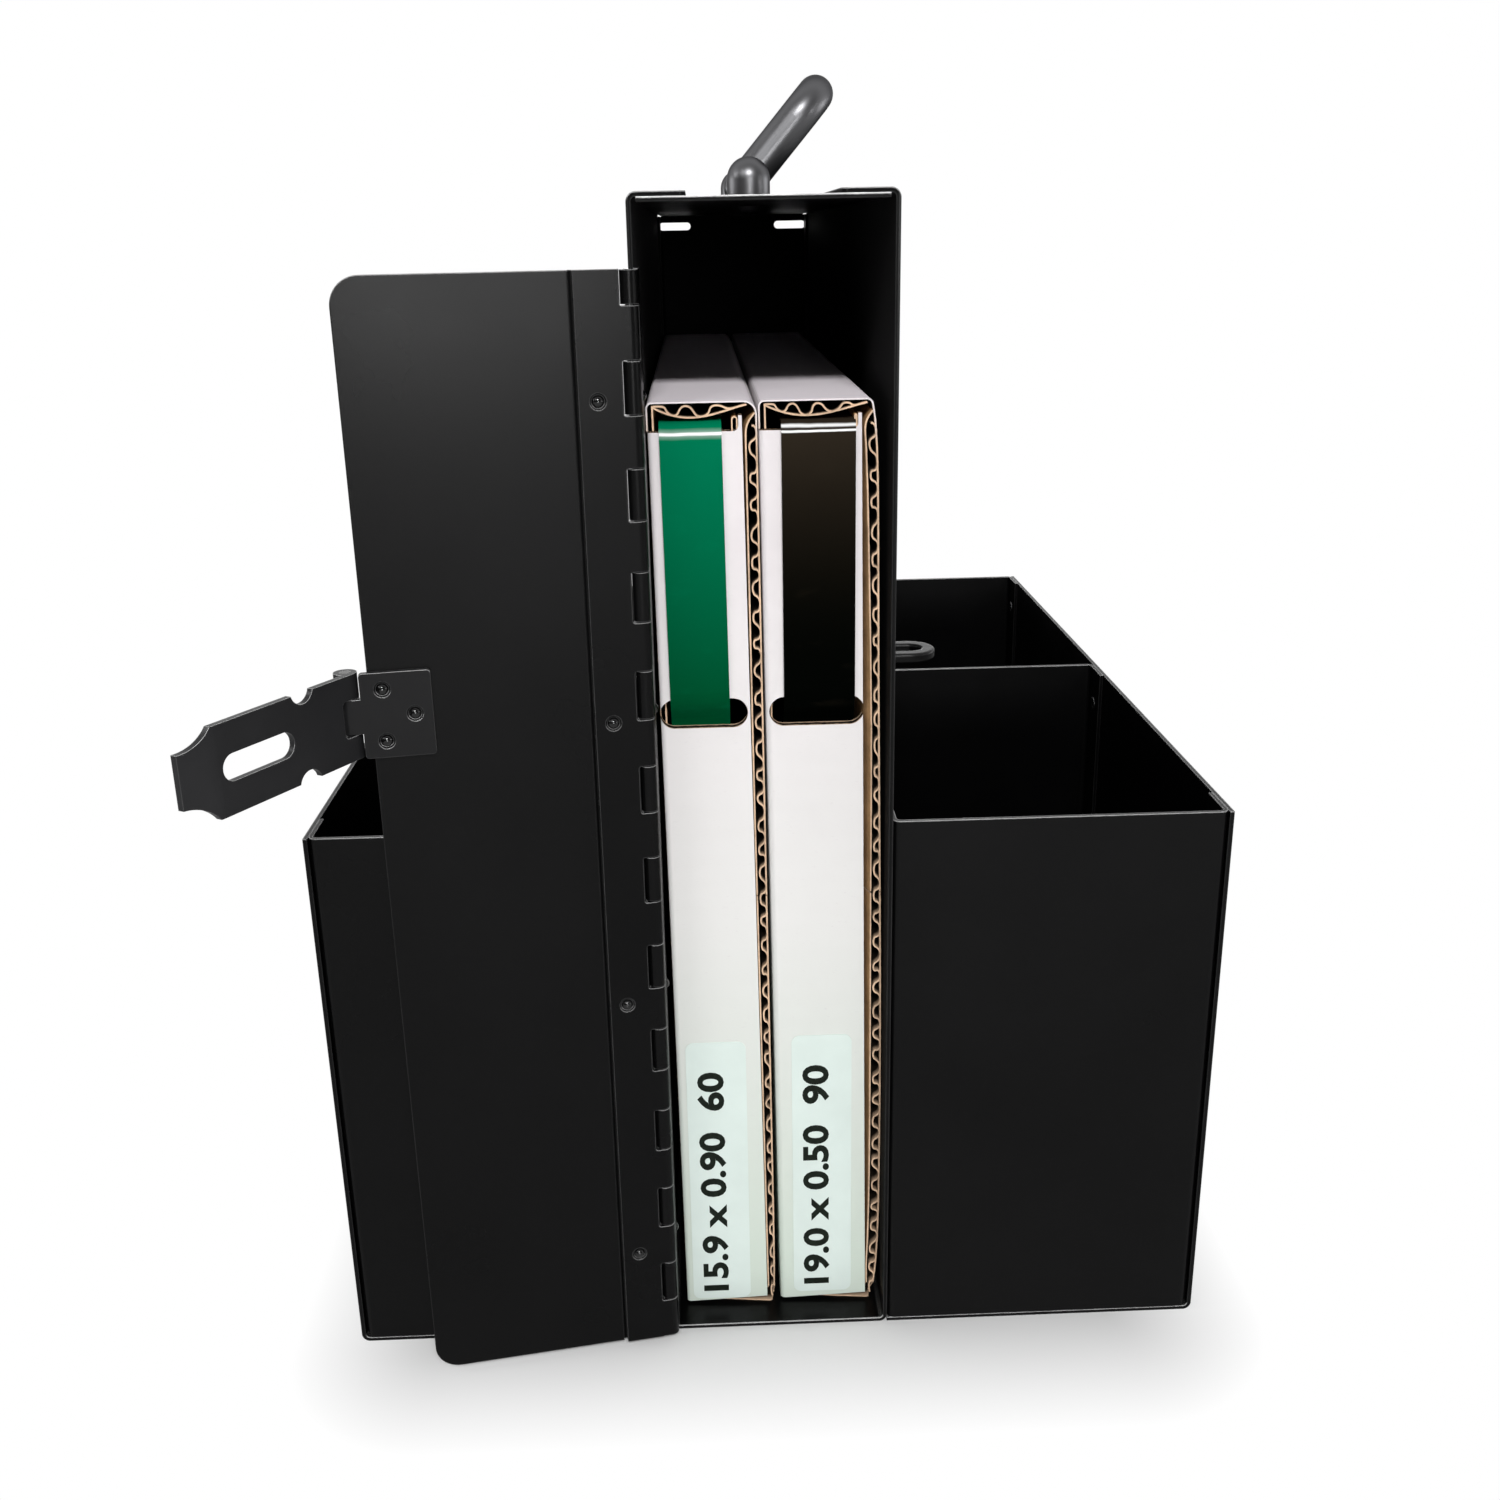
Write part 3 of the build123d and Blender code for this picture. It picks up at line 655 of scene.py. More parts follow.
def cut_board(sizes, front):
    """Cut edge of a flap: two tan liners, with painted shade between them for the dark hollows of the
    flutes.
    """
    material, tree, shader, place = start_material("Cut Board")
    tear = noise(tree, place, 2.2 * MM, detail=4.0, roughness=0.6)
    ragged = vary(tree, tear, -0.35 * MM, 0.35 * MM)
    depth = number(tree, "ADD", axes(tree, place)["Y"], ragged)
    away = off(tree, depth, front + sizes.board / 2)
    # Painted shade: a near-black band across the middle of the edge, where the flutes' gaps are dark.
    flute_hollow_shade = spread(tree, away, sizes.board * 0.24, sizes.board * 0.36, 1.0, 0.0)
    shade = blend_colour(tree, flute_hollow_shade, sizes.fresh, sizes.flute_hollow_shade)
    sunk = relief(tree, flute_hollow_shade, depth=-0.3 * MM, strength=0.6)
    dress(tree, shader, shade, roughness=0.85, gloss=0.1, normal=sunk)
    return material


def coated_band(name, colour, foot_colour, bend_highlight_colour, fall, bend_height, lines):
    """Waxed, coated steel band: drawn along its length, with a painted sheen that is lighter near the bend
    and darker low down, and painted highlights as bright lines where it bends.

    fall is how fast the painted sheen fades downwards. Each painted highlight line is how far it lies under
    the bend, its width and its strength.
    """
    material, tree, shader, place = start_material(name)
    drawn = noise(tree, stretched(tree, place, (1, 1, 0.02)), 0.5 * MM, roughness=0.6)
    smear = noise(tree, stretched(tree, place, (1, 1, 2.2)), 14 * MM)
    height = axes(tree, place)["Z"]
    # Painted sheen: the band is lighter near the bend and darker low down.
    upper = number(tree, "POWER", spread(tree, height, bend_height - 70 * MM, bend_height), fall)
    toned = blend_colour(tree, upper, foot_colour, colour)
    shade = blend_colour(tree, spread(tree, smear, 0.62, 0.8, 0.0, 0.12), toned, scaled(colour, 1.5))
    wavering = number(tree, "ADD", height, vary(tree, smear, -0.2 * MM, 0.2 * MM))
    # Painted highlights: bright lines along the bend where the band catches the light.
    for drop, width, strength in lines:
        away = off(tree, wavering, bend_height - drop)
        line = spread(tree, away, width, width * 0.25, 0.0, strength)
        shade = blend_colour(tree, line, shade, bend_highlight_colour)
    waxed = vary(tree, smear, 0.18, 0.3)
    grain = relief(tree, drawn, depth=0.01 * MM, strength=0.3)
    dress(tree, shader, shade, roughness=waxed, gloss=0.004, normal=grain)
    return material


def label_paper(colour):
    """Smooth label paper with a little cockle."""
    material, tree, shader, place = start_material("Label Paper")
    cockle = noise(tree, place, 12 * MM)
    shade = blend_colour(tree, patches(tree, cockle), colour, scaled(colour, 0.95))
    satin = vary(tree, cockle, 0.38, 0.5)
    waves = relief(tree, cockle, depth=0.2 * MM, strength=0.2)
    dress(tree, shader, shade, roughness=satin, gloss=0.35, normal=waves)
    return material


def label_ink(colour):
    """Printed ink with slightly uneven density."""
    material, tree, shader, place = start_material("Label Ink")
    density = noise(tree, place, 1.2 * MM, roughness=0.6)
    shade = blend_colour(tree, spread(tree, density, 0.4, 0.7), colour, scaled(colour, 1.8))
    dress(tree, shader, shade, roughness=0.5, gloss=0.1)
    return material


# Carton geometry

def hump(share, middle, width):
    """A smooth rise to one at the middle and back."""
    return math.exp(-((share - middle) / width) ** 2)


def arc(centre, radius, start, sweep, steps):
    """Points along part of a circle."""
    points = []
    for step in range(steps + 1):
        turn = start + sweep * step / steps
        points.append(centre + radius * Vector((math.cos(turn), math.sin(turn))))
    return points


class CartonFace:
    """Front view of the left (0) or right (1) carton, from its CAD solid, bowed like the real one."""

    # Where up its height the right side bows out most and is crushed most, and how far each spreads
    SWELL_AT = 0.3
    SWELL_SPREAD = 0.4
    CRUSH_AT = 0.7
    CRUSH_SPREAD = 0.2

    # How much of its height is drawn in at the foot and at the head
    FOOT_SPREAD = 0.035
    HEAD_SPREAD = 0.03

    # Shares of the way from an end back to the seam, closer together towards that end
    CLOSING = [(1 - 0.1 * step) ** 2 for step in range(9)]

    def __init__(self, node, sizes, index):
        self.low, self.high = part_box(node)
        self.front = self.low.y
        self.back = self.high.y
        self.swell = sizes.swell[index]
        self.foot_tuck = sizes.foot_tuck[index]
        self.head_tuck = sizes.head_tuck[index]
        self.bulge = sizes.bulge[index]
        self.edge = sizes.edge[index]
        self.dip = sizes.dip[index]
        self.loop = sizes.loop[index]
        self.flap_foot_inset = sizes.flap_foot_inset[index]
        self.flap_head_inset = sizes.flap_head_inset[index]
        self.slit = sizes.liner / 2
        points = [vertex.co for vertex in nodes[node].data.vertices]
        foot = [point.x for point in points if point.z < self.low.z + NEAR]
        head = [point.x for point in points if point.z > self.high.z - NEAR]
        self.foot = (min(foot), max(foot))
        self.head = (min(head), max(head))
        self.seam = (self.low.z + self.high.z) / 2
        self.flap_top = self.high.z - sizes.board - sizes.window
        self.slot_middle = self.flap_top - sizes.slot_drop + sizes.slot_height / 2
        left = self.straight(0, self.slot_middle) + NEAR
        right = self.straight(1, self.slot_middle) - sizes.board
        rim = [
            point.x for point in points
            if abs(point.z - self.slot_middle) < sizes.slot_height / 2 - NEAR
            and point.y < self.front + NEAR and left < point.x < right
        ]
        self.slot = (min(rim), max(rim))

    def share(self, height):
        """How far up the carton a height is."""
        return (height - self.low.z) / (self.high.z - self.low.z)

    def straight(self, index, height):
        """Place of the left (0) or right (1) face at one height, as it was folded."""
        return self.foot[index] + (self.head[index] - self.foot[index]) * self.share(height)

    def side(self, index, height):
        """The same place, with the right face bowed out low down and drawn in at its foot and head."""
        place = self.straight(index, height)
        if index == 1:
            share = self.share(height)
            place += self.swell * hump(share, self.SWELL_AT, self.SWELL_SPREAD)
            place -= self.foot_tuck * math.exp(-share / self.FOOT_SPREAD)
            place -= self.head_tuck * math.exp((share - 1) / self.HEAD_SPREAD)
        return place

    def flap_edge(self, height):
        """Right edge of the front flap."""
        inset = self.flap_foot_inset + (self.flap_head_inset - self.flap_foot_inset) * self.share(height)
        return self.straight(1, height) - inset

    def deep_room(self, height):
        """Thickness of the right side behind its cut edge, up to the flap."""
        return self.side(1, height) - self.flap_edge(height) - self.slit

    def edge_room(self, height):
        """Thickness of the right side at its cut edge, which is crushed most at CRUSH_AT."""
        crushed = self.edge - self.dip * hump(self.share(height), self.CRUSH_AT, self.CRUSH_SPREAD)
        return min(crushed, self.deep_room(height))

    def corner(self, index, top, inset=0.0):
        """A corner of the section, brought in by inset."""
        height = self.high.z - inset if top else self.low.z + inset
        inward = inset if index == 0 else -inset
        return Vector((self.side(index, height) + inward, height))

    def low_heights(self):
        """Heights down the right side from the seam, closer together towards the foot."""
        return [self.low.z + (self.seam - self.low.z) * share for share in self.CLOSING]

    def high_heights(self, crease):
        """Heights up the right side from just over the seam, closer together towards the head."""
        rise = self.high.z - self.seam - crease
        return [self.high.z - rise * share for share in self.CLOSING]


def fold(before, corner, after, radius, steps=5):
    """Points of an arc that rounds one corner of a path."""
    first = (corner - before).normalized()
    second = (after - corner).normalized()
    turn = math.atan2(first.x * second.y - first.y * second.x, first.dot(second))
    start = corner - first * radius * abs(math.tan(turn / 2))
    centre = start + Vector((-first.y, first.x)) * math.copysign(radius, turn)
    return [centre + Matrix.Rotation(turn * step / steps, 2) @ (start - centre) for step in range(steps + 1)]


def section_path(face, sizes):
    """Path round a carton's outside, from the seam half way up its right side and back to it."""
    foot_left, foot_right = face.corner(0, False), face.corner(1, False)
    head_left, head_right = face.corner(0, True), face.corner(1, True)
    falling = [Vector((face.side(1, height), height)) for height in face.low_heights()]
    finish = [Vector((face.side(1, height), height)) for height in reversed(face.high_heights(sizes.crease))]
    path = falling + fold(falling[-1], foot_right, foot_left, sizes.fold)
    path += fold(foot_right, foot_left, head_left, sizes.liner)
    path += flap_break(face, sizes, 0.0)
    path += fold(foot_left, head_left, head_right, sizes.fold)
    path += fold(head_left, head_right, finish[0], face.bulge)
    return path + finish


def flap_break(face, sizes, inset):
    """Two points on the left side, just under and just over the flap's top edge."""
    heights = (face.flap_top - sizes.crease, face.flap_top + sizes.crease)
    return [Vector((face.side(0, height) + inset, height)) for height in heights]


def liner_path(face, sizes, room):
    """Path of the inner liner, from the seam round the foot and the left side to the top, where it hangs.

    room gives the thickness of the right side at one height.
    """
    foot = face.low.z + sizes.board - sizes.liner
    falling = []
    for height in face.low_heights():
        falling.append(Vector((face.side(1, height) - room(height) + sizes.liner, height)))
    foot_right = Vector((face.side(1, foot) - room(foot) + sizes.liner, foot))
    foot_left = Vector((face.side(0, foot) + sizes.crush, foot))
    head = face.high.z - sizes.liner
    head_left = Vector((face.side(0, head) + sizes.crush, head - sizes.crush / 3))
    path = falling + fold(falling[-1], foot_right, foot_left, sizes.liner)
    path += fold(foot_right, foot_left, head_left, sizes.liner)
    path += flap_break(face, sizes, sizes.crush)
    return path + hung_path(face, sizes)


def hung_path(face, sizes, steps=18):
    """The top's inner liner between its two folds. It hangs lowest a little left of the middle."""
    head = face.high.z - sizes.liner - sizes.crush / 3
    first = Vector((face.side(0, head) + sizes.crush, head))
    last = Vector((face.side(1, head) - face.bulge * 0.9, head))
    path = []
    for step in range(steps + 1):
        share = step / steps
        path.append(first.lerp(last, share) - Vector((0, sizes.sag * hang(share))))
    return path


def hang(share):
    """Shape of a liner that hangs between two folds, one at its lowest point."""
    return math.sin(math.pi * share ** 0.8) ** 1.15 if 0 < share < 1 else 0.0


def curl_path(face, sizes, room, steps=10):
    """Inner liner of the right side, from the fold at the top, where it bends out, down to the seam."""
    knee = face.high.z - 3.2 * sizes.board
    rise = face.high.z - 1.1 * sizes.board - knee
    heights = [height for height in face.high_heights(sizes.crease) if height < knee]
    path = [Vector((face.side(1, height) - room(height) + sizes.liner, height)) for height in heights]
    for step in range(steps + 1):
        share = step / steps
        height = knee + rise * share
        straight = room(height) - 2 * sizes.liner
        inward = sizes.liner + max(straight, 0) * math.cos(math.pi / 2 * share ** 1.6)
        path.append(Vector((face.side(1, height) - inward, height)))
    path.reverse()
    return path


def wave_path(waves, swing, lean, place):
    """Path of fluted paper, a little uneven, that starts at swing and leans over by lean.

    place turns a share of the way and a rise from -1 to 1 into a point.
    """
    steps = waves * 16
    path = []
    for step in range(steps + 1):
        phase = WHOLE_TURN * waves * step / steps
        uneven = 0.35 * math.sin(0.37 * phase + swing) + 0.2 * math.sin(0.83 * phase)
        leaning = lean * (1 + 0.35 * math.sin(0.61 * phase + 1.0))
        leaned = phase + uneven - leaning * (math.sin(2 * (phase + swing)) - math.sin(2 * swing))
        share = min(max(leaned / (WHOLE_TURN * waves), 0.0), 1.0)
        path.append(place(share, math.sin(phase + swing)))
    return path


def swept_sheet(name, rows, thickness, materials):
    """A sheet through rows of points that run back along Y, its thickness laid inwards.

    Each row is a path in X and Z with the depth of every point. The materials are those of the sheet's
    outer face, its inner face and its cut edges.
    """
    sheet = added(
        name, bpy.ops.mesh.primitive_grid_add,
        x_subdivisions=len(rows[0][0]) - 1, y_subdivisions=len(rows) - 1, size=1,
    )
    vertices = iter(sheet.data.vertices)
    for path, depths in rows:
        for point, depth in zip(path, depths):
            next(vertices).co = (point.x, depth, point.y)
    wall = sheet.modifiers.new("Wall", "SOLIDIFY")
    wall.thickness = thickness
    wall.offset = -1
    wall.use_even_offset = True
    wall.material_offset = 1
    wall.material_offset_rim = 2
    paint(sheet, *materials)
    apply_all(sheet)
    smooth(sheet)
    return sheet


def level(path, depth):
    """A row of a sheet whose points all lie at one depth."""
    return path, [depth] * len(path)


def dust_loop(name, face, sizes, materials):
    """Edge of the dust flap, folded back on itself, seen at the right of the window."""
    radius = face.loop / 2
    across = face.flap_edge(face.flap_top) - sizes.lip - sizes.liner / 2 - radius
    centre = Vector((across, face.flap_top + sizes.window * 0.8 - radius))
    low = face.flap_top - 2 * sizes.board
    turned = arc(centre, radius, math.pi, -math.pi, steps=8)
    path = [Vector((across - radius, low))] + turned + [Vector((across + radius, low))]
    near = face.front + sizes.liner
    rows = [level(path, near), level(path, near + 8 * sizes.board)]
    return swept_sheet(name, rows, sizes.liner * 0.8, materials)


def flap_outline(face, sizes):
    """Front view of the flap, anticlockwise from its foot, with a lip up the right of the window."""
    foot = face.low.z + sizes.flap_foot
    foot_right = foot + sizes.flap_rise
    lip_top = face.flap_top + sizes.window * 0.85
    lip_left = face.flap_edge(lip_top) - sizes.lip
    radius = sizes.lip_corner
    points = [
        Vector((face.side(0, foot), foot)),
        Vector((face.flap_edge(foot_right), foot_right)),
        Vector((face.flap_edge(lip_top), lip_top)),
        Vector((lip_left, lip_top)),
    ]
    points += arc(Vector((lip_left - radius, face.flap_top + radius)), radius, 0.0, -math.pi / 2, steps=5)
    points.append(Vector((face.side(0, face.flap_top), face.flap_top)))
    return points


def front_flap(name, face, sizes, materials):
    """Front flap of a carton: a slotted board that folds round the left edge."""
    outline = flap_outline(face, sizes)
    flap = added(
        name, bpy.ops.mesh.primitive_circle_add, vertices=len(outline), radius=1, fill_type="NGON",
    )
    for vertex, point in zip(flap.data.vertices, outline):
        vertex.co = (point.x, face.front, point.y)
    wall = flap.modifiers.new("Wall", "SOLIDIFY")
    wall.thickness = sizes.board
    wall.offset = -1
    apply_all(flap)

    def folded(edge):
        ends = [flap.data.vertices[index].co for index in edge.vertices]
        upright = abs(ends[0].z - ends[1].z) > sizes.board
        left = all(point.x < (face.foot[0] + face.foot[1]) / 2 for point in ends)
        ahead = all(point.y < face.front + sizes.board / 2 for point in ends)
        return upright and left and ahead

    choose(flap, "EDGE", folded)
    bpy.ops.mesh.bevel(offset=sizes.fold, segments=5, affect="EDGES")
    leave_edit()
    carve(flap, slot_cutter(face, sizes))
    paint(flap, *materials)
    for polygon in flap.data.polygons:
        left_turn = polygon.normal.x < -0.1 and polygon.center.x < face.slot[0] and polygon.normal.y < 0.5
        polygon.material_index = 0 if polygon.normal.y < -FACING or left_turn else 1
    smooth(flap)
    return flap


def slot_cutter(face, sizes):
    """A long round-ended plug the size of the slot."""
    cutter = added(
        "slot_cutter", bpy.ops.mesh.primitive_cylinder_add,
        vertices=48, radius=sizes.slot_height / 2, depth=6 * sizes.board,
    )
    left, right = face.slot
    stretch = (right - left - sizes.slot_height) / 2
    middle = Vector(((left + right) / 2, face.front, face.slot_middle))
    for vertex in cutter.data.vertices:
        x, y, z = vertex.co
        vertex.co = middle + Vector((x + math.copysign(stretch, x), z, -y))
    return cutter


def back_board(name, face, sizes, materials):
    """Back of a carton, a plain board set inside the sides."""
    back = added(name, bpy.ops.mesh.primitive_cube_add, size=1)
    for vertex in back.data.vertices:
        corner = face.corner(1 if vertex.co.x > 0 else 0, vertex.co.z > 0, sizes.board)
        depth = face.back if vertex.co.y > 0 else face.back - sizes.board
        vertex.co = (corner.x, depth, corner.y)
    edge = back.modifiers.new("Edge", "BEVEL")
    edge.width = sizes.liner
    edge.segments = 2
    apply_all(back)
    paint(back, *materials)
    for polygon in back.data.polygons:
        polygon.material_index = 0 if polygon.normal.y > FACING else 1
    smooth(back)
    return back


# Operators

class TOTE_OT_coat(Operator):
    """Coat every steel piece of the tote"""

    bl_idname = "tote.coat"
    bl_label = "Coat the Steel"

    def execute(self, context):
        coat = context.scene.tote_coat
        rim, peel = coat.rim, coat.peel
        # Each coat's two edge greys are partly wear and partly painted highlight.
        finishes = {
            "black_coat": coated_steel(
                "Powder Coat", coat.casing, rim, peel,
                roughness=0.3, gloss=0.13, wear_and_highlight=0.02, upward_wear_and_highlight=0.45,
            ),
            "hinge_steel": coated_steel(
                "Hinge Coat", coat.hinge, rim * 0.7, peel,
                roughness=0.28, gloss=0.11, wear_and_highlight=0.07, upward_wear_and_highlight=0.3,
            ),
            "hasp_steel": coated_steel(
                "Hasp Coat", coat.hasp, rim * 0.5, peel * 0.8,
                roughness=0.3, gloss=0.16, wear_and_highlight=0.06, upward_wear_and_highlight=0.5,
            ),
            "handle_steel": coated_steel(
                "Handle Coat", coat.handle, rim * 0.5, peel,
                roughness=0.36, gloss=0.5, wear_and_highlight=0.2, upward_wear_and_highlight=0.2, metal=1.0, tint=0.3, bumps=0.0,
            ),
            "rivet_steel": coated_steel(
                "Rivet Coat", coat.rivet, rim * 0.3, peel,
                roughness=0.1, gloss=0.5, wear_and_highlight=0.004, upward_wear_and_highlight=0.004, bumps=0.0,
            ),
        }
        for part in frame["record"]["subparts"]:
            if part["material_slot"] in finishes:
                paint(nodes[part["node"]], finishes[part["material_slot"]])
        half_width = nodes["compartment_wrap"].dimensions.x / 2
        own_finishes = {
            "compartment_wrap": coated_steel(
                "Compartment Coat", coat.casing, rim * 1.2, peel,
                roughness=0.3, gloss=0.12, wear_and_highlight=0.03, upward_wear_and_highlight=0.5, matt_inside=half_width - 0.6 * MM,
            ),
            "back_panel": coated_steel(
                "Inner Coat", coat.casing, rim, peel,
                roughness=0.6, gloss=0.02, wear_and_highlight=0.02, upward_wear_and_highlight=0.1,
            ),
            # The top plate's edges that face up carry a strong painted highlight.
            "top_plate": coated_steel(
                "Powder Coat With Painted Edge Highlight", coat.casing, rim * 1.6, peel,
                roughness=0.4, gloss=0.05, wear_and_highlight=0.03, upward_wear_and_highlight=0.95,
            ),
            # The strap takes a lighter copy of the hasp coat: painted light.
            "hasp_strap": coated_steel(
                "Strap Coat", scaled(coat.hasp, coat.strap), rim * 0.5, peel * 0.8,
                roughness=0.3, gloss=0.18, wear_and_highlight=0.06, upward_wear_and_highlight=0.5,
            ),
            "staple": finishes["hinge_steel"],
        }
        for node, finish in own_finishes.items():
            paint(nodes[node], finish)
        return {"FINISHED"}


class TOTE_OT_door(Operator):
    """Finish the door panel with the dark gap beside its hinge leaf"""

    bl_idname = "tote.door"
    bl_label = "Finish the Door"

    def execute(self, context):
        width, depth = context.scene.tote_coat.gap
        coat, inner = bpy.data.materials.get("Powder Coat"), bpy.data.materials.get("Inner Coat")
        if coat is None or inner is None:
            raise RuntimeError("coat the steel before finishing the door")
        node = nodes["door_panel"]
        faces = [polygon for polygon in node.data.polygons if polygon.normal.y < -FACING]
        out = max(faces, key=lambda polygon: polygon.area).normal.copy()
        along = Vector((0, 0, 1)).cross(out)
        face = max(out.dot(vertex.co) for vertex in node.data.vertices)
        edge = min(along.dot(vertex.co) for vertex in nodes["hinge_door_leaf"].data.vertices)
        low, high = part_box("door_panel")
        cutter = added("gap_cutter", bpy.ops.mesh.primitive_cube_add, size=1)
        for vertex in cutter.data.vertices:
            x, y, z = vertex.co
            across = edge if x > 0 else edge - width
            outward = face + depth if y > 0 else face - depth
            height = high.z + depth if z > 0 else low.z - depth
            vertex.co = along * across + out * outward + Vector((0, 0, height))
        choose_all(cutter)
        bpy.ops.mesh.normals_make_consistent(inside=False)
        leave_edit()
        panel = bpy.data.objects.new("door_panel_finish", node.data.copy())
        context.collection.objects.link(panel)
        only(panel)
        bpy.ops.mesh.customdata_custom_splitnormals_clear()
        carve(panel, cutter)
        paint(panel, coat, inner)
        for polygon in panel.data.polygons:
            inside = edge - width - NEAR < along.dot(polygon.center) < edge + NEAR
            polygon.material_index = 1 if inside and out.dot(polygon.center) < face - NEAR else 0
        smooth(panel)
        seat(panel, "door")
        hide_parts("door_panel")
        return {"FINISHED"}


class TOTE_OT_bands(Operator):
    """Coat the two coils of band"""

    bl_idname = "tote.bands"
    bl_label = "Coat the Band"

    def execute(self, context):
        sizes = context.scene.tote_carton
        bend_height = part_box("left_carton")[1].z - sizes.board - sizes.window
        # Painted highlight lines at each bend: how far under it, how wide and how strong.
        soft = ((0.4 * MM, 1.6 * MM, 0.2), (0.4 * MM, 0.55 * MM, 1.0))
        double = ((-1.2 * MM, 0.6 * MM, 0.7), (0.2 * MM, 0.42 * MM, 0.9))
        for node, name, colour, foot_colour, fall, lines in (
            ("left_band", "Green Band", sizes.green, sizes.green_foot, 1.0, soft),
            ("right_band", "Black Band", sizes.black, sizes.black_foot, 2.6, double),
        ):
            paint(nodes[node], coated_band(name, colour, foot_colour, sizes.bend, fall, bend_height, lines))
        return {"FINISHED"}


class TOTE_OT_cartons(Operator):
    """Make the two corrugated cartons, with flutes at their cut edges"""

    bl_idname = "tote.cartons"
    bl_label = "Make the Cartons"

    def execute(self, context):
        sizes = context.scene.tote_carton
        white = white_liner(sizes)
        kraft = kraft_paper("Kraft Paper", sizes.kraft)
        fresh = kraft_paper("Fresh Cut Paper", sizes.fresh)
        for index, side in enumerate(("left", "right")):
            node = side + "_carton"
            face = CartonFace(node, sizes, index)
            edge = cut_board(sizes, face.front)
            # Flute paper turns from tan at the front to painted shade deeper than reach; it also lines the
            # carton's insides, which so take painted shade.
            deep = face.front + sizes.reach
            flute = kraft_paper("Flute Paper", sizes.fresh, sizes.flute_hollow_shade, "Y", face.front, deep)
            bleached = (face.high.z - 12 * MM, face.high.z - 1 * MM)
            rim = kraft_paper("Liner Edge", sizes.fresh, sizes.white, "Z", *bleached)
            pieces = self.liners(node, face, sizes, (white, flute, rim), (flute, kraft, fresh))
            pieces += self.flutes(node, face, sizes, (flute, flute, fresh))
            pieces.append(dust_loop(node + "_loop", face, sizes, (kraft, flute, fresh)))
            pieces.append(front_flap(node + "_flap", face, sizes, (white, edge)))
            pieces.append(back_board(node + "_back", face, sizes, (white, edge)))
            carton = joined(node + "_board", pieces)
            seat(carton, "casing")
            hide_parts(node)
        return {"FINISHED"}

    def liners(self, node, face, sizes, outer_papers, inner_papers):
        """The outer liner, and the inner one, which is pressed outwards along the right side's cut edge."""
        pressed = face.front + sizes.press
        outer = section_path(face, sizes)
        rows = [(outer, self.starts(face, outer, sizes)), level(outer, face.back)]
        made = [swept_sheet(node + "_outer", rows, sizes.liner, outer_papers)]
        for part, draw in (("lined", liner_path), ("curled", curl_path)):
            near = draw(face, sizes, face.edge_room)
            deep = draw(face, sizes, face.deep_room)
            rows = [(near, self.starts(face, near, sizes)), level(deep, pressed), level(deep, face.back)]
            made.append(swept_sheet(node + "_" + part, rows, sizes.liner, inner_papers))
        return made

    def starts(self, face, path, sizes):
        """Where a sheet begins at each point of its path: behind the flap on the left, inside the foot."""
        depths = []
        for point in path:
            left = point.x < face.side(0, point.y) + sizes.board and point.y < face.flap_top
            foot = sizes.liner < point.y - face.low.z < sizes.board + sizes.liner
            depths.append(face.front + sizes.board if left or foot else face.front)
        return depths

    def flutes(self, node, face, sizes, papers):
        """Fluted paper in the right side and in the top, where the cut edges show."""
        foot = face.low.z + sizes.fold
        head = face.high.z - 2.2 * sizes.board
        hung = hung_path(face, sizes)
        ceiling = face.high.z - sizes.liner - hung[0].y

        def beside(share, rise):
            height = foot + (head - foot) * share
            room = face.edge_room(height)
            half = max(room - 2 * sizes.liner - sizes.medium, 0) / 2
            return Vector((face.side(1, height) - (room - sizes.medium) / 2 - half * rise, height))

        def above(share, rise):
            half = (ceiling + sizes.sag * hang(share) - sizes.medium) / 2
            return hung[0].lerp(hung[-1], share) + Vector((0, ceiling - sizes.medium - half + half * rise))

        made = []
        for part, length, swing, lean, place in (
            ("side", head - foot, 0.0, sizes.side_lean, beside),
            ("top", (hung[-1] - hung[0]).length, 0.9, sizes.top_lean, above),
        ):
            path = wave_path(max(2, round(length / sizes.pitch)), swing, lean, place)
            rows = [level(path, face.front + sizes.liner / 2), level(path, face.back)]
            made.append(swept_sheet(node + "_" + part, rows, sizes.medium, papers))
        return made


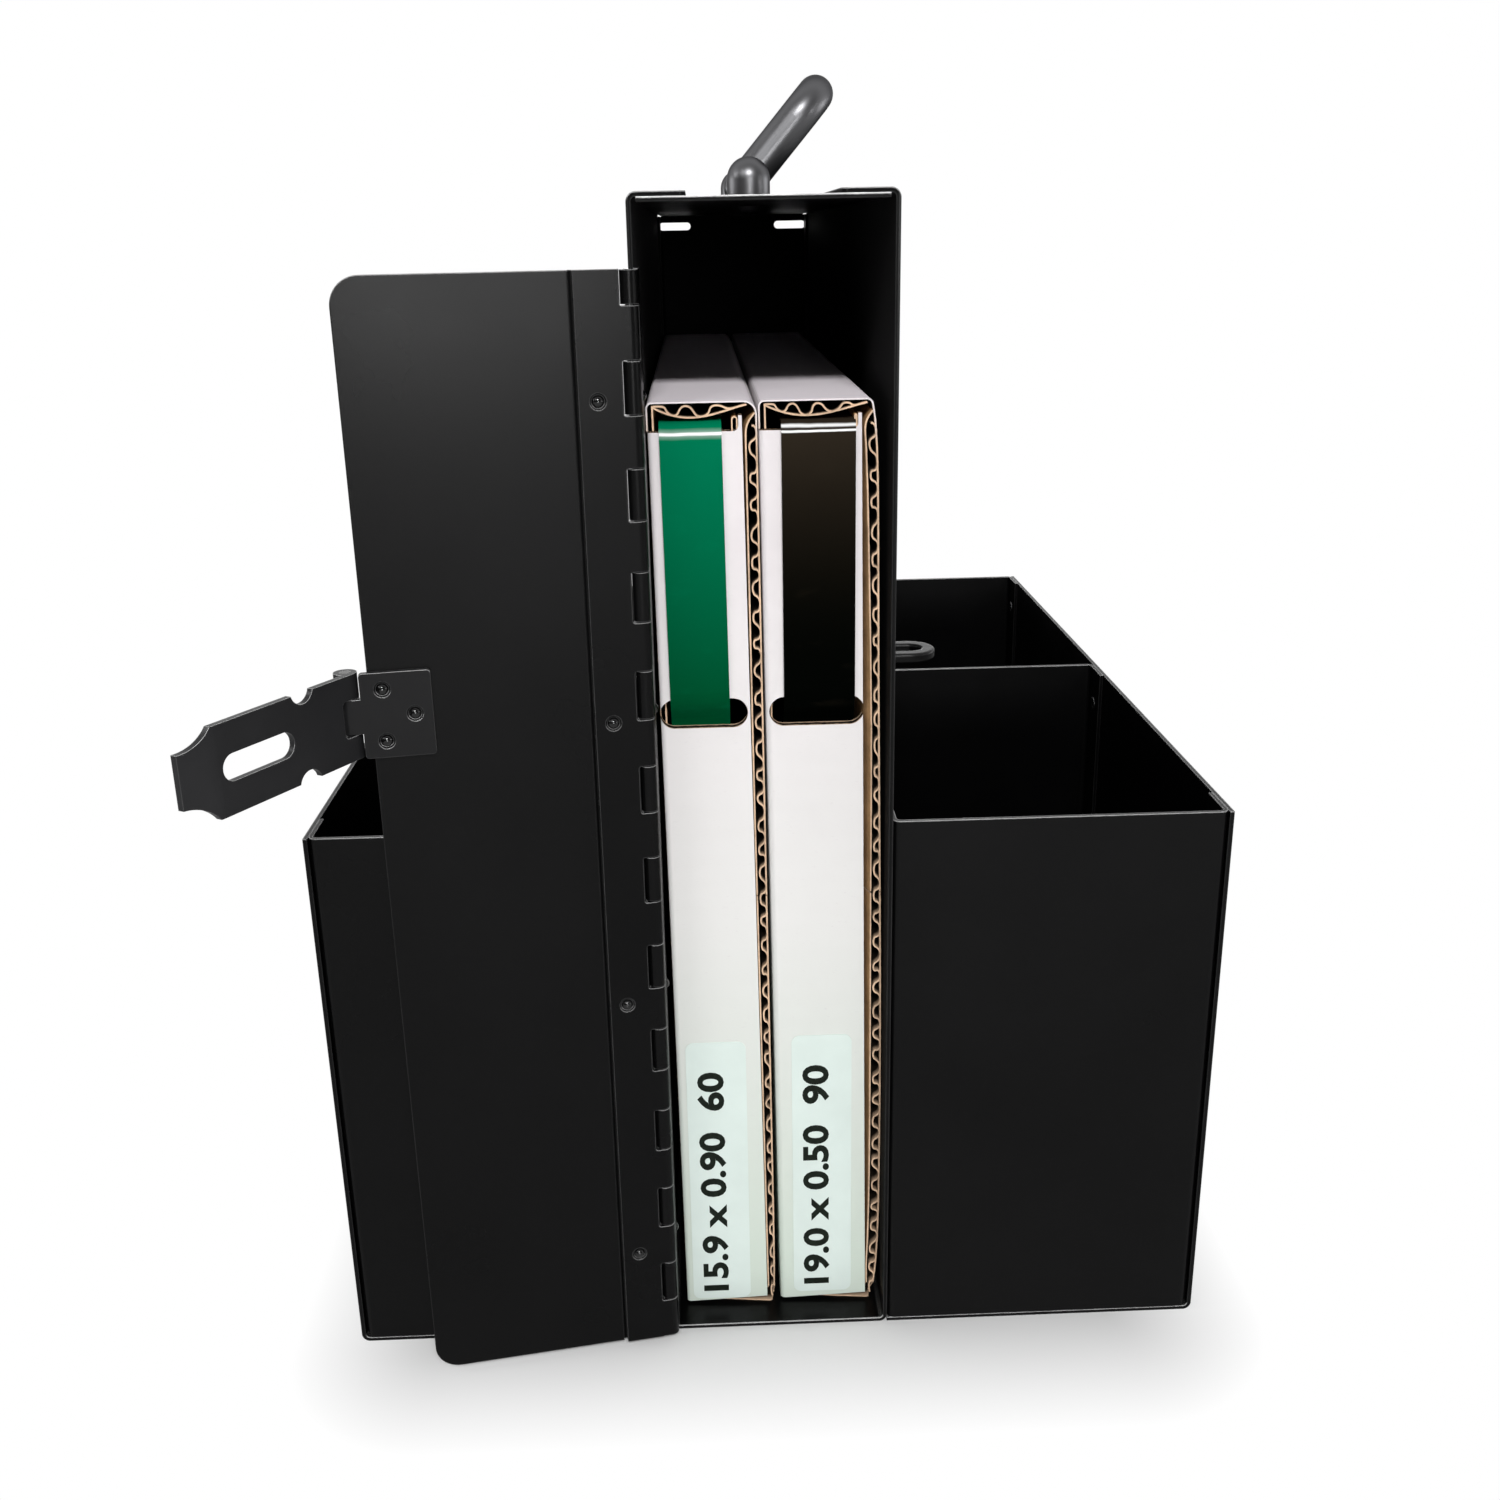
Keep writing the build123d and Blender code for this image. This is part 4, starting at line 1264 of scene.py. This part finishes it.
class TOTE_OT_labels(Operator):
    """Finish the paper labels and print plain size numbers on them"""

    bl_idname = "tote.labels"
    bl_label = "Print the Labels"

    # Height of a numeral in the font, and how far its strokes are thickened for its height
    CAP = 0.7
    BOLD = 0.045

    # Shares of the label: length of the numbers, their start above its foot, their line from its left
    RUN = 0.86
    FOOT = 0.03
    LINE = 0.4

    def execute(self, context):
        sizes = context.scene.tote_carton
        paper = label_paper(sizes.paper)
        ink = label_ink(sizes.ink)
        for side, mark in (("left", sizes.left_mark), ("right", sizes.right_mark)):
            node = side + "_label"
            paint(nodes[node], paper)
            self.numbers(node, mark, sizes, ink)
        return {"FINISHED"}

    def numbers(self, node, mark, sizes, ink):
        """Numbers that read up the label."""
        low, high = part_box(node)
        text = added(node + "_numbers", bpy.ops.object.text_add)
        text.data.body = mark
        text.data.size = sizes.mark_height / self.CAP
        text.data.offset = self.BOLD * sizes.mark_height
        text.data.extrude = 0.02 * MM
        text.data.resolution_u = 4
        bpy.ops.object.convert(target="MESH")
        numbers = take(node + "_numbers")
        choose_all(numbers)
        bpy.ops.mesh.remove_doubles(threshold=0.001 * MM)
        leave_edit()
        xs = [vertex.co.x for vertex in numbers.data.vertices]
        ys = [vertex.co.y for vertex in numbers.data.vertices]
        start = Vector((min(xs), (min(ys) + max(ys)) / 2, 0))
        stretch = self.RUN * (high.z - low.z) / (max(xs) - min(xs))
        line = low.x + self.LINE * (high.x - low.x)
        foot = low.z + self.FOOT * (high.z - low.z)
        for vertex in numbers.data.vertices:
            along, up, out = vertex.co - start
            vertex.co = (line - up, low.y - out, foot + along * stretch)
        paint(numbers, ink)
        smooth(numbers)
        seat(numbers, "casing")


class TOTE_OT_welds(Operator):
    """Press spot-weld marks into the bins' returns"""

    bl_idname = "tote.welds"
    bl_label = "Mark the Spot Welds"

    def execute(self, context):
        sizes = context.scene.tote_weld
        coat = bpy.data.materials.get("Powder Coat")
        if coat is None:
            raise RuntimeError("coat the steel before marking its welds")
        plate_low, plate_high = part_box("top_plate")
        sheet = plate_high.z - plate_low.z
        button = self.button(sizes)
        for side, sign in (("left", -1), ("right", 1)):
            marks = []
            for panel in ("front", "divider", "back"):
                low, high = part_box(f"{side}_bin_{panel}")
                depth = high.y - sizes.inset if panel == "front" else low.y + sizes.inset
                outer = (high.x if sign > 0 else -low.x) - sheet
                span = high.z - low.z - 2 * sizes.margin
                for row in range(sizes.rows):
                    height = low.z + sizes.margin + span * row / (sizes.rows - 1)
                    place = Vector((sign * outer, depth, height))
                    marks.append(self.mark(context, button, place, -sign))
            welds = joined(f"{side}_bin_welds", marks)
            paint(welds, coat)
            smooth(welds)
            seat(welds, "casing")
        bpy.data.objects.remove(button)
        return {"FINISHED"}

    def button(self, sizes):
        """A low round button, dished in the middle."""
        button = added(
            "weld_button", bpy.ops.mesh.primitive_cylinder_add,
            vertices=28, radius=sizes.radius, depth=2 * sizes.height,
        )
        choose(button, "FACE", lambda polygon: polygon.normal.z > FACING)
        bpy.ops.mesh.inset(thickness=sizes.radius * 0.25, depth=0)
        bpy.ops.mesh.inset(thickness=sizes.radius * 0.2, depth=-sizes.height * 0.8)
        leave_edit()
        return button

    def mark(self, context, button, place, facing):
        """A copy of the button at one place, facing one way along X."""
        mark = bpy.data.objects.new("weld_mark", button.data.copy())
        context.collection.objects.link(mark)
        for vertex in mark.data.vertices:
            x, y, z = vertex.co
            vertex.co = place + Vector((facing * z, y, -facing * x))
        return mark


class TOTE_OT_studio(Operator):
    """Set up the floor, the light and the camera"""

    bl_idname = "tote.studio"
    bl_label = "Set Up the Studio"

    def execute(self, context):
        studio = context.scene.tote_studio
        context.scene.view_settings.view_transform = "Standard"
        self.floor(studio)
        self.room(context.scene, studio)
        # Name, place, target, width and height, and power of each light
        self.softbox("key_softbox", (0.05, -1.475, 1.245), (0, -0.14, 0.28), (0.5, 0.2), studio.key)
        self.softbox("front_strip", (0.2, -1.65, 0.33), (0, -0.15, 0.28), (0.42, 0.2), studio.strip)
        self.softbox("upper_left_softbox", (-0.66, -1.0, 1.08), (0, 0, 0.36), (0.4, 0.5), studio.kicker)
        self.softbox("left_softbox", (-1.0, -0.3, 0.75), (0, -0.1, 0.36), (0.12, 0.3), studio.left)
        self.softbox("right_softbox", (1.0, -0.55, 0.34), (0, -0.1, 0.34), (0.1, 0.25), studio.right)
        self.softbox("left_flank_softbox", (-1.8, 0.4, 0.26), (0, 0.1, 0.15), (0.9, 0.35), studio.flank)
        self.softbox("right_flank_softbox", (1.8, 0.4, 0.26), (0, 0.1, 0.15), (0.9, 0.35), studio.flank)
        self.softbox("back_softbox", (0, 2.0, 0.32), (0, 0.1, 0.15), (0.9, 0.3), studio.rear)
        self.camera(context.scene, studio)
        return {"FINISHED"}

    def floor(self, studio):
        """A pale floor that takes the shadow near the tote and is plain white far from it."""
        floor = added("floor", bpy.ops.mesh.primitive_plane_add, size=24)
        material, tree, shader, place = start_material("Studio Floor")
        dress(tree, shader, studio.floor, roughness=0.9, gloss=0.0)
        far = spread(tree, self.outside(tree, place, studio.footprint), 0.0, studio.shade)
        seen = tree.nodes.new("ShaderNodeLightPath").outputs["Is Camera Ray"]
        glow = tree.nodes.new("ShaderNodeEmission")
        output = [node for node in tree.nodes if node.type == "OUTPUT_MATERIAL"][0]
        mix_shaders(tree, number(tree, "MULTIPLY", far, seen), shader, glow, output)
        paint(floor, material)

    def outside(self, tree, place, footprint):
        """Distance of a point on the floor from the shaded rectangle under the tote."""
        folded = vector(tree, "ABSOLUTE", place)["Vector"]
        past = vector(tree, "SUBTRACT", folded, (footprint[0] / 2, footprint[1] / 2, 0))["Vector"]
        kept = vector(tree, "MAXIMUM", past, (0, 0, 0))["Vector"]
        return vector(tree, "LENGTH", kept)["Value"]

    def room(self, scene, studio):
        """A room that looks white but gives less light. Behind the camera its reflection is dimmer."""
        world = bpy.data.worlds.new("Studio Room")
        scene.world = world
        world.use_nodes = True
        tree = world.node_tree
        tree.nodes.clear()
        output = tree.nodes.new("ShaderNodeOutputWorld")
        lit = tree.nodes.new("ShaderNodeBackground")
        white = tree.nodes.new("ShaderNodeBackground")
        for node in (lit, white):
            node.inputs["Color"].default_value = (1, 1, 1, 1)
        lit.inputs["Strength"].default_value = studio.ambient
        direction = axes(tree, tree.nodes.new("ShaderNodeTexCoord").outputs["Generated"])
        path = tree.nodes.new("ShaderNodeLightPath").outputs
        seen = path["Is Camera Ray"]
        dimmed = spread(tree, direction["Y"], -0.5, 0.1, studio.behind, 1.0)
        plug(tree, number(tree, "MAXIMUM", seen, dimmed), white.inputs["Strength"])
        for name in ("Is Glossy Ray", "Is Transmission Ray"):
            seen = number(tree, "MAXIMUM", seen, path[name])
        mix_shaders(tree, seen, lit, white, output)

    def softbox(self, name, place, target, size, power):
        """A soft light of a given width and height that faces a point on the tote."""
        lamp = added(name, bpy.ops.object.light_add, type="AREA", location=place)
        lamp.data.shape = "RECTANGLE"
        lamp.data.size, lamp.data.size_y = size
        lamp.data.energy = power
        aim = Vector(target) - Vector(place)
        lamp.rotation_euler = aim.to_track_quat("-Z", "Y").to_euler()

    def camera(self, scene, studio):
        """The photograph's viewpoint."""
        camera = added("photo_camera", bpy.ops.object.camera_add)
        ahead = Vector((
            math.sin(studio.yaw) * math.cos(studio.pitch),
            math.cos(studio.yaw) * math.cos(studio.pitch),
            -math.sin(studio.pitch),
        ))
        across = Vector((math.cos(studio.yaw), -math.sin(studio.yaw), 0))
        rise = across.cross(ahead)
        right = across * math.cos(studio.roll) + rise * math.sin(studio.roll)
        up = rise * math.cos(studio.roll) - across * math.sin(studio.roll)
        turned = Matrix((right, up, -ahead)).transposed().to_4x4()
        camera.matrix_world = Matrix.Translation(studio.place) @ turned
        camera.data.sensor_fit = "HORIZONTAL"
        camera.data.sensor_width = 36.0
        camera.data.lens = studio.lens
        camera.data.clip_start = 0.01
        camera.data.clip_end = 50
        scene.camera = camera


STEPS = (
    TOTE_OT_coat, TOTE_OT_door, TOTE_OT_bands, TOTE_OT_cartons,
    TOTE_OT_labels, TOTE_OT_welds, TOTE_OT_studio,
)
SETTINGS = {
    "tote_coat": ToteCoatSettings,
    "tote_carton": ToteCartonSettings,
    "tote_weld": ToteWeldSettings,
    "tote_studio": ToteStudioSettings,
}


class VIEW3D_PT_tote(Panel):
    """Sidebar panel with the tote's settings and steps"""

    bl_label = "Strapping Tote"
    bl_idname = "VIEW3D_PT_tote"
    bl_space_type = "VIEW_3D"
    bl_region_type = "UI"
    bl_category = "Tote"

    def draw(self, context):
        for name, group in SETTINGS.items():
            box = self.layout.box()
            box.label(text=name.replace("_", " ").title())
            for field in group.__annotations__:
                box.prop(getattr(context.scene, name), field)
        for step in STEPS:
            self.layout.operator(step.bl_idname)


def register():
    """Registers the settings, the steps and the panel."""
    for name, group in SETTINGS.items():
        bpy.utils.register_class(group)
        setattr(bpy.types.Scene, name, PointerProperty(type=group))
    for step in STEPS:
        bpy.utils.register_class(step)
    bpy.utils.register_class(VIEW3D_PT_tote)


def unregister():
    """Removes what register added, in the opposite order."""
    bpy.utils.unregister_class(VIEW3D_PT_tote)
    for step in reversed(STEPS):
        bpy.utils.unregister_class(step)
    for name, group in SETTINGS.items():
        delattr(bpy.types.Scene, name)
        bpy.utils.unregister_class(group)


def main():
    """Runs every step in order."""
    register()
    bpy.ops.tote.coat()
    bpy.ops.tote.door()
    bpy.ops.tote.bands()
    bpy.ops.tote.cartons()
    bpy.ops.tote.labels()
    bpy.ops.tote.welds()
    bpy.ops.tote.studio()


if __name__ == "__main__":
    main()
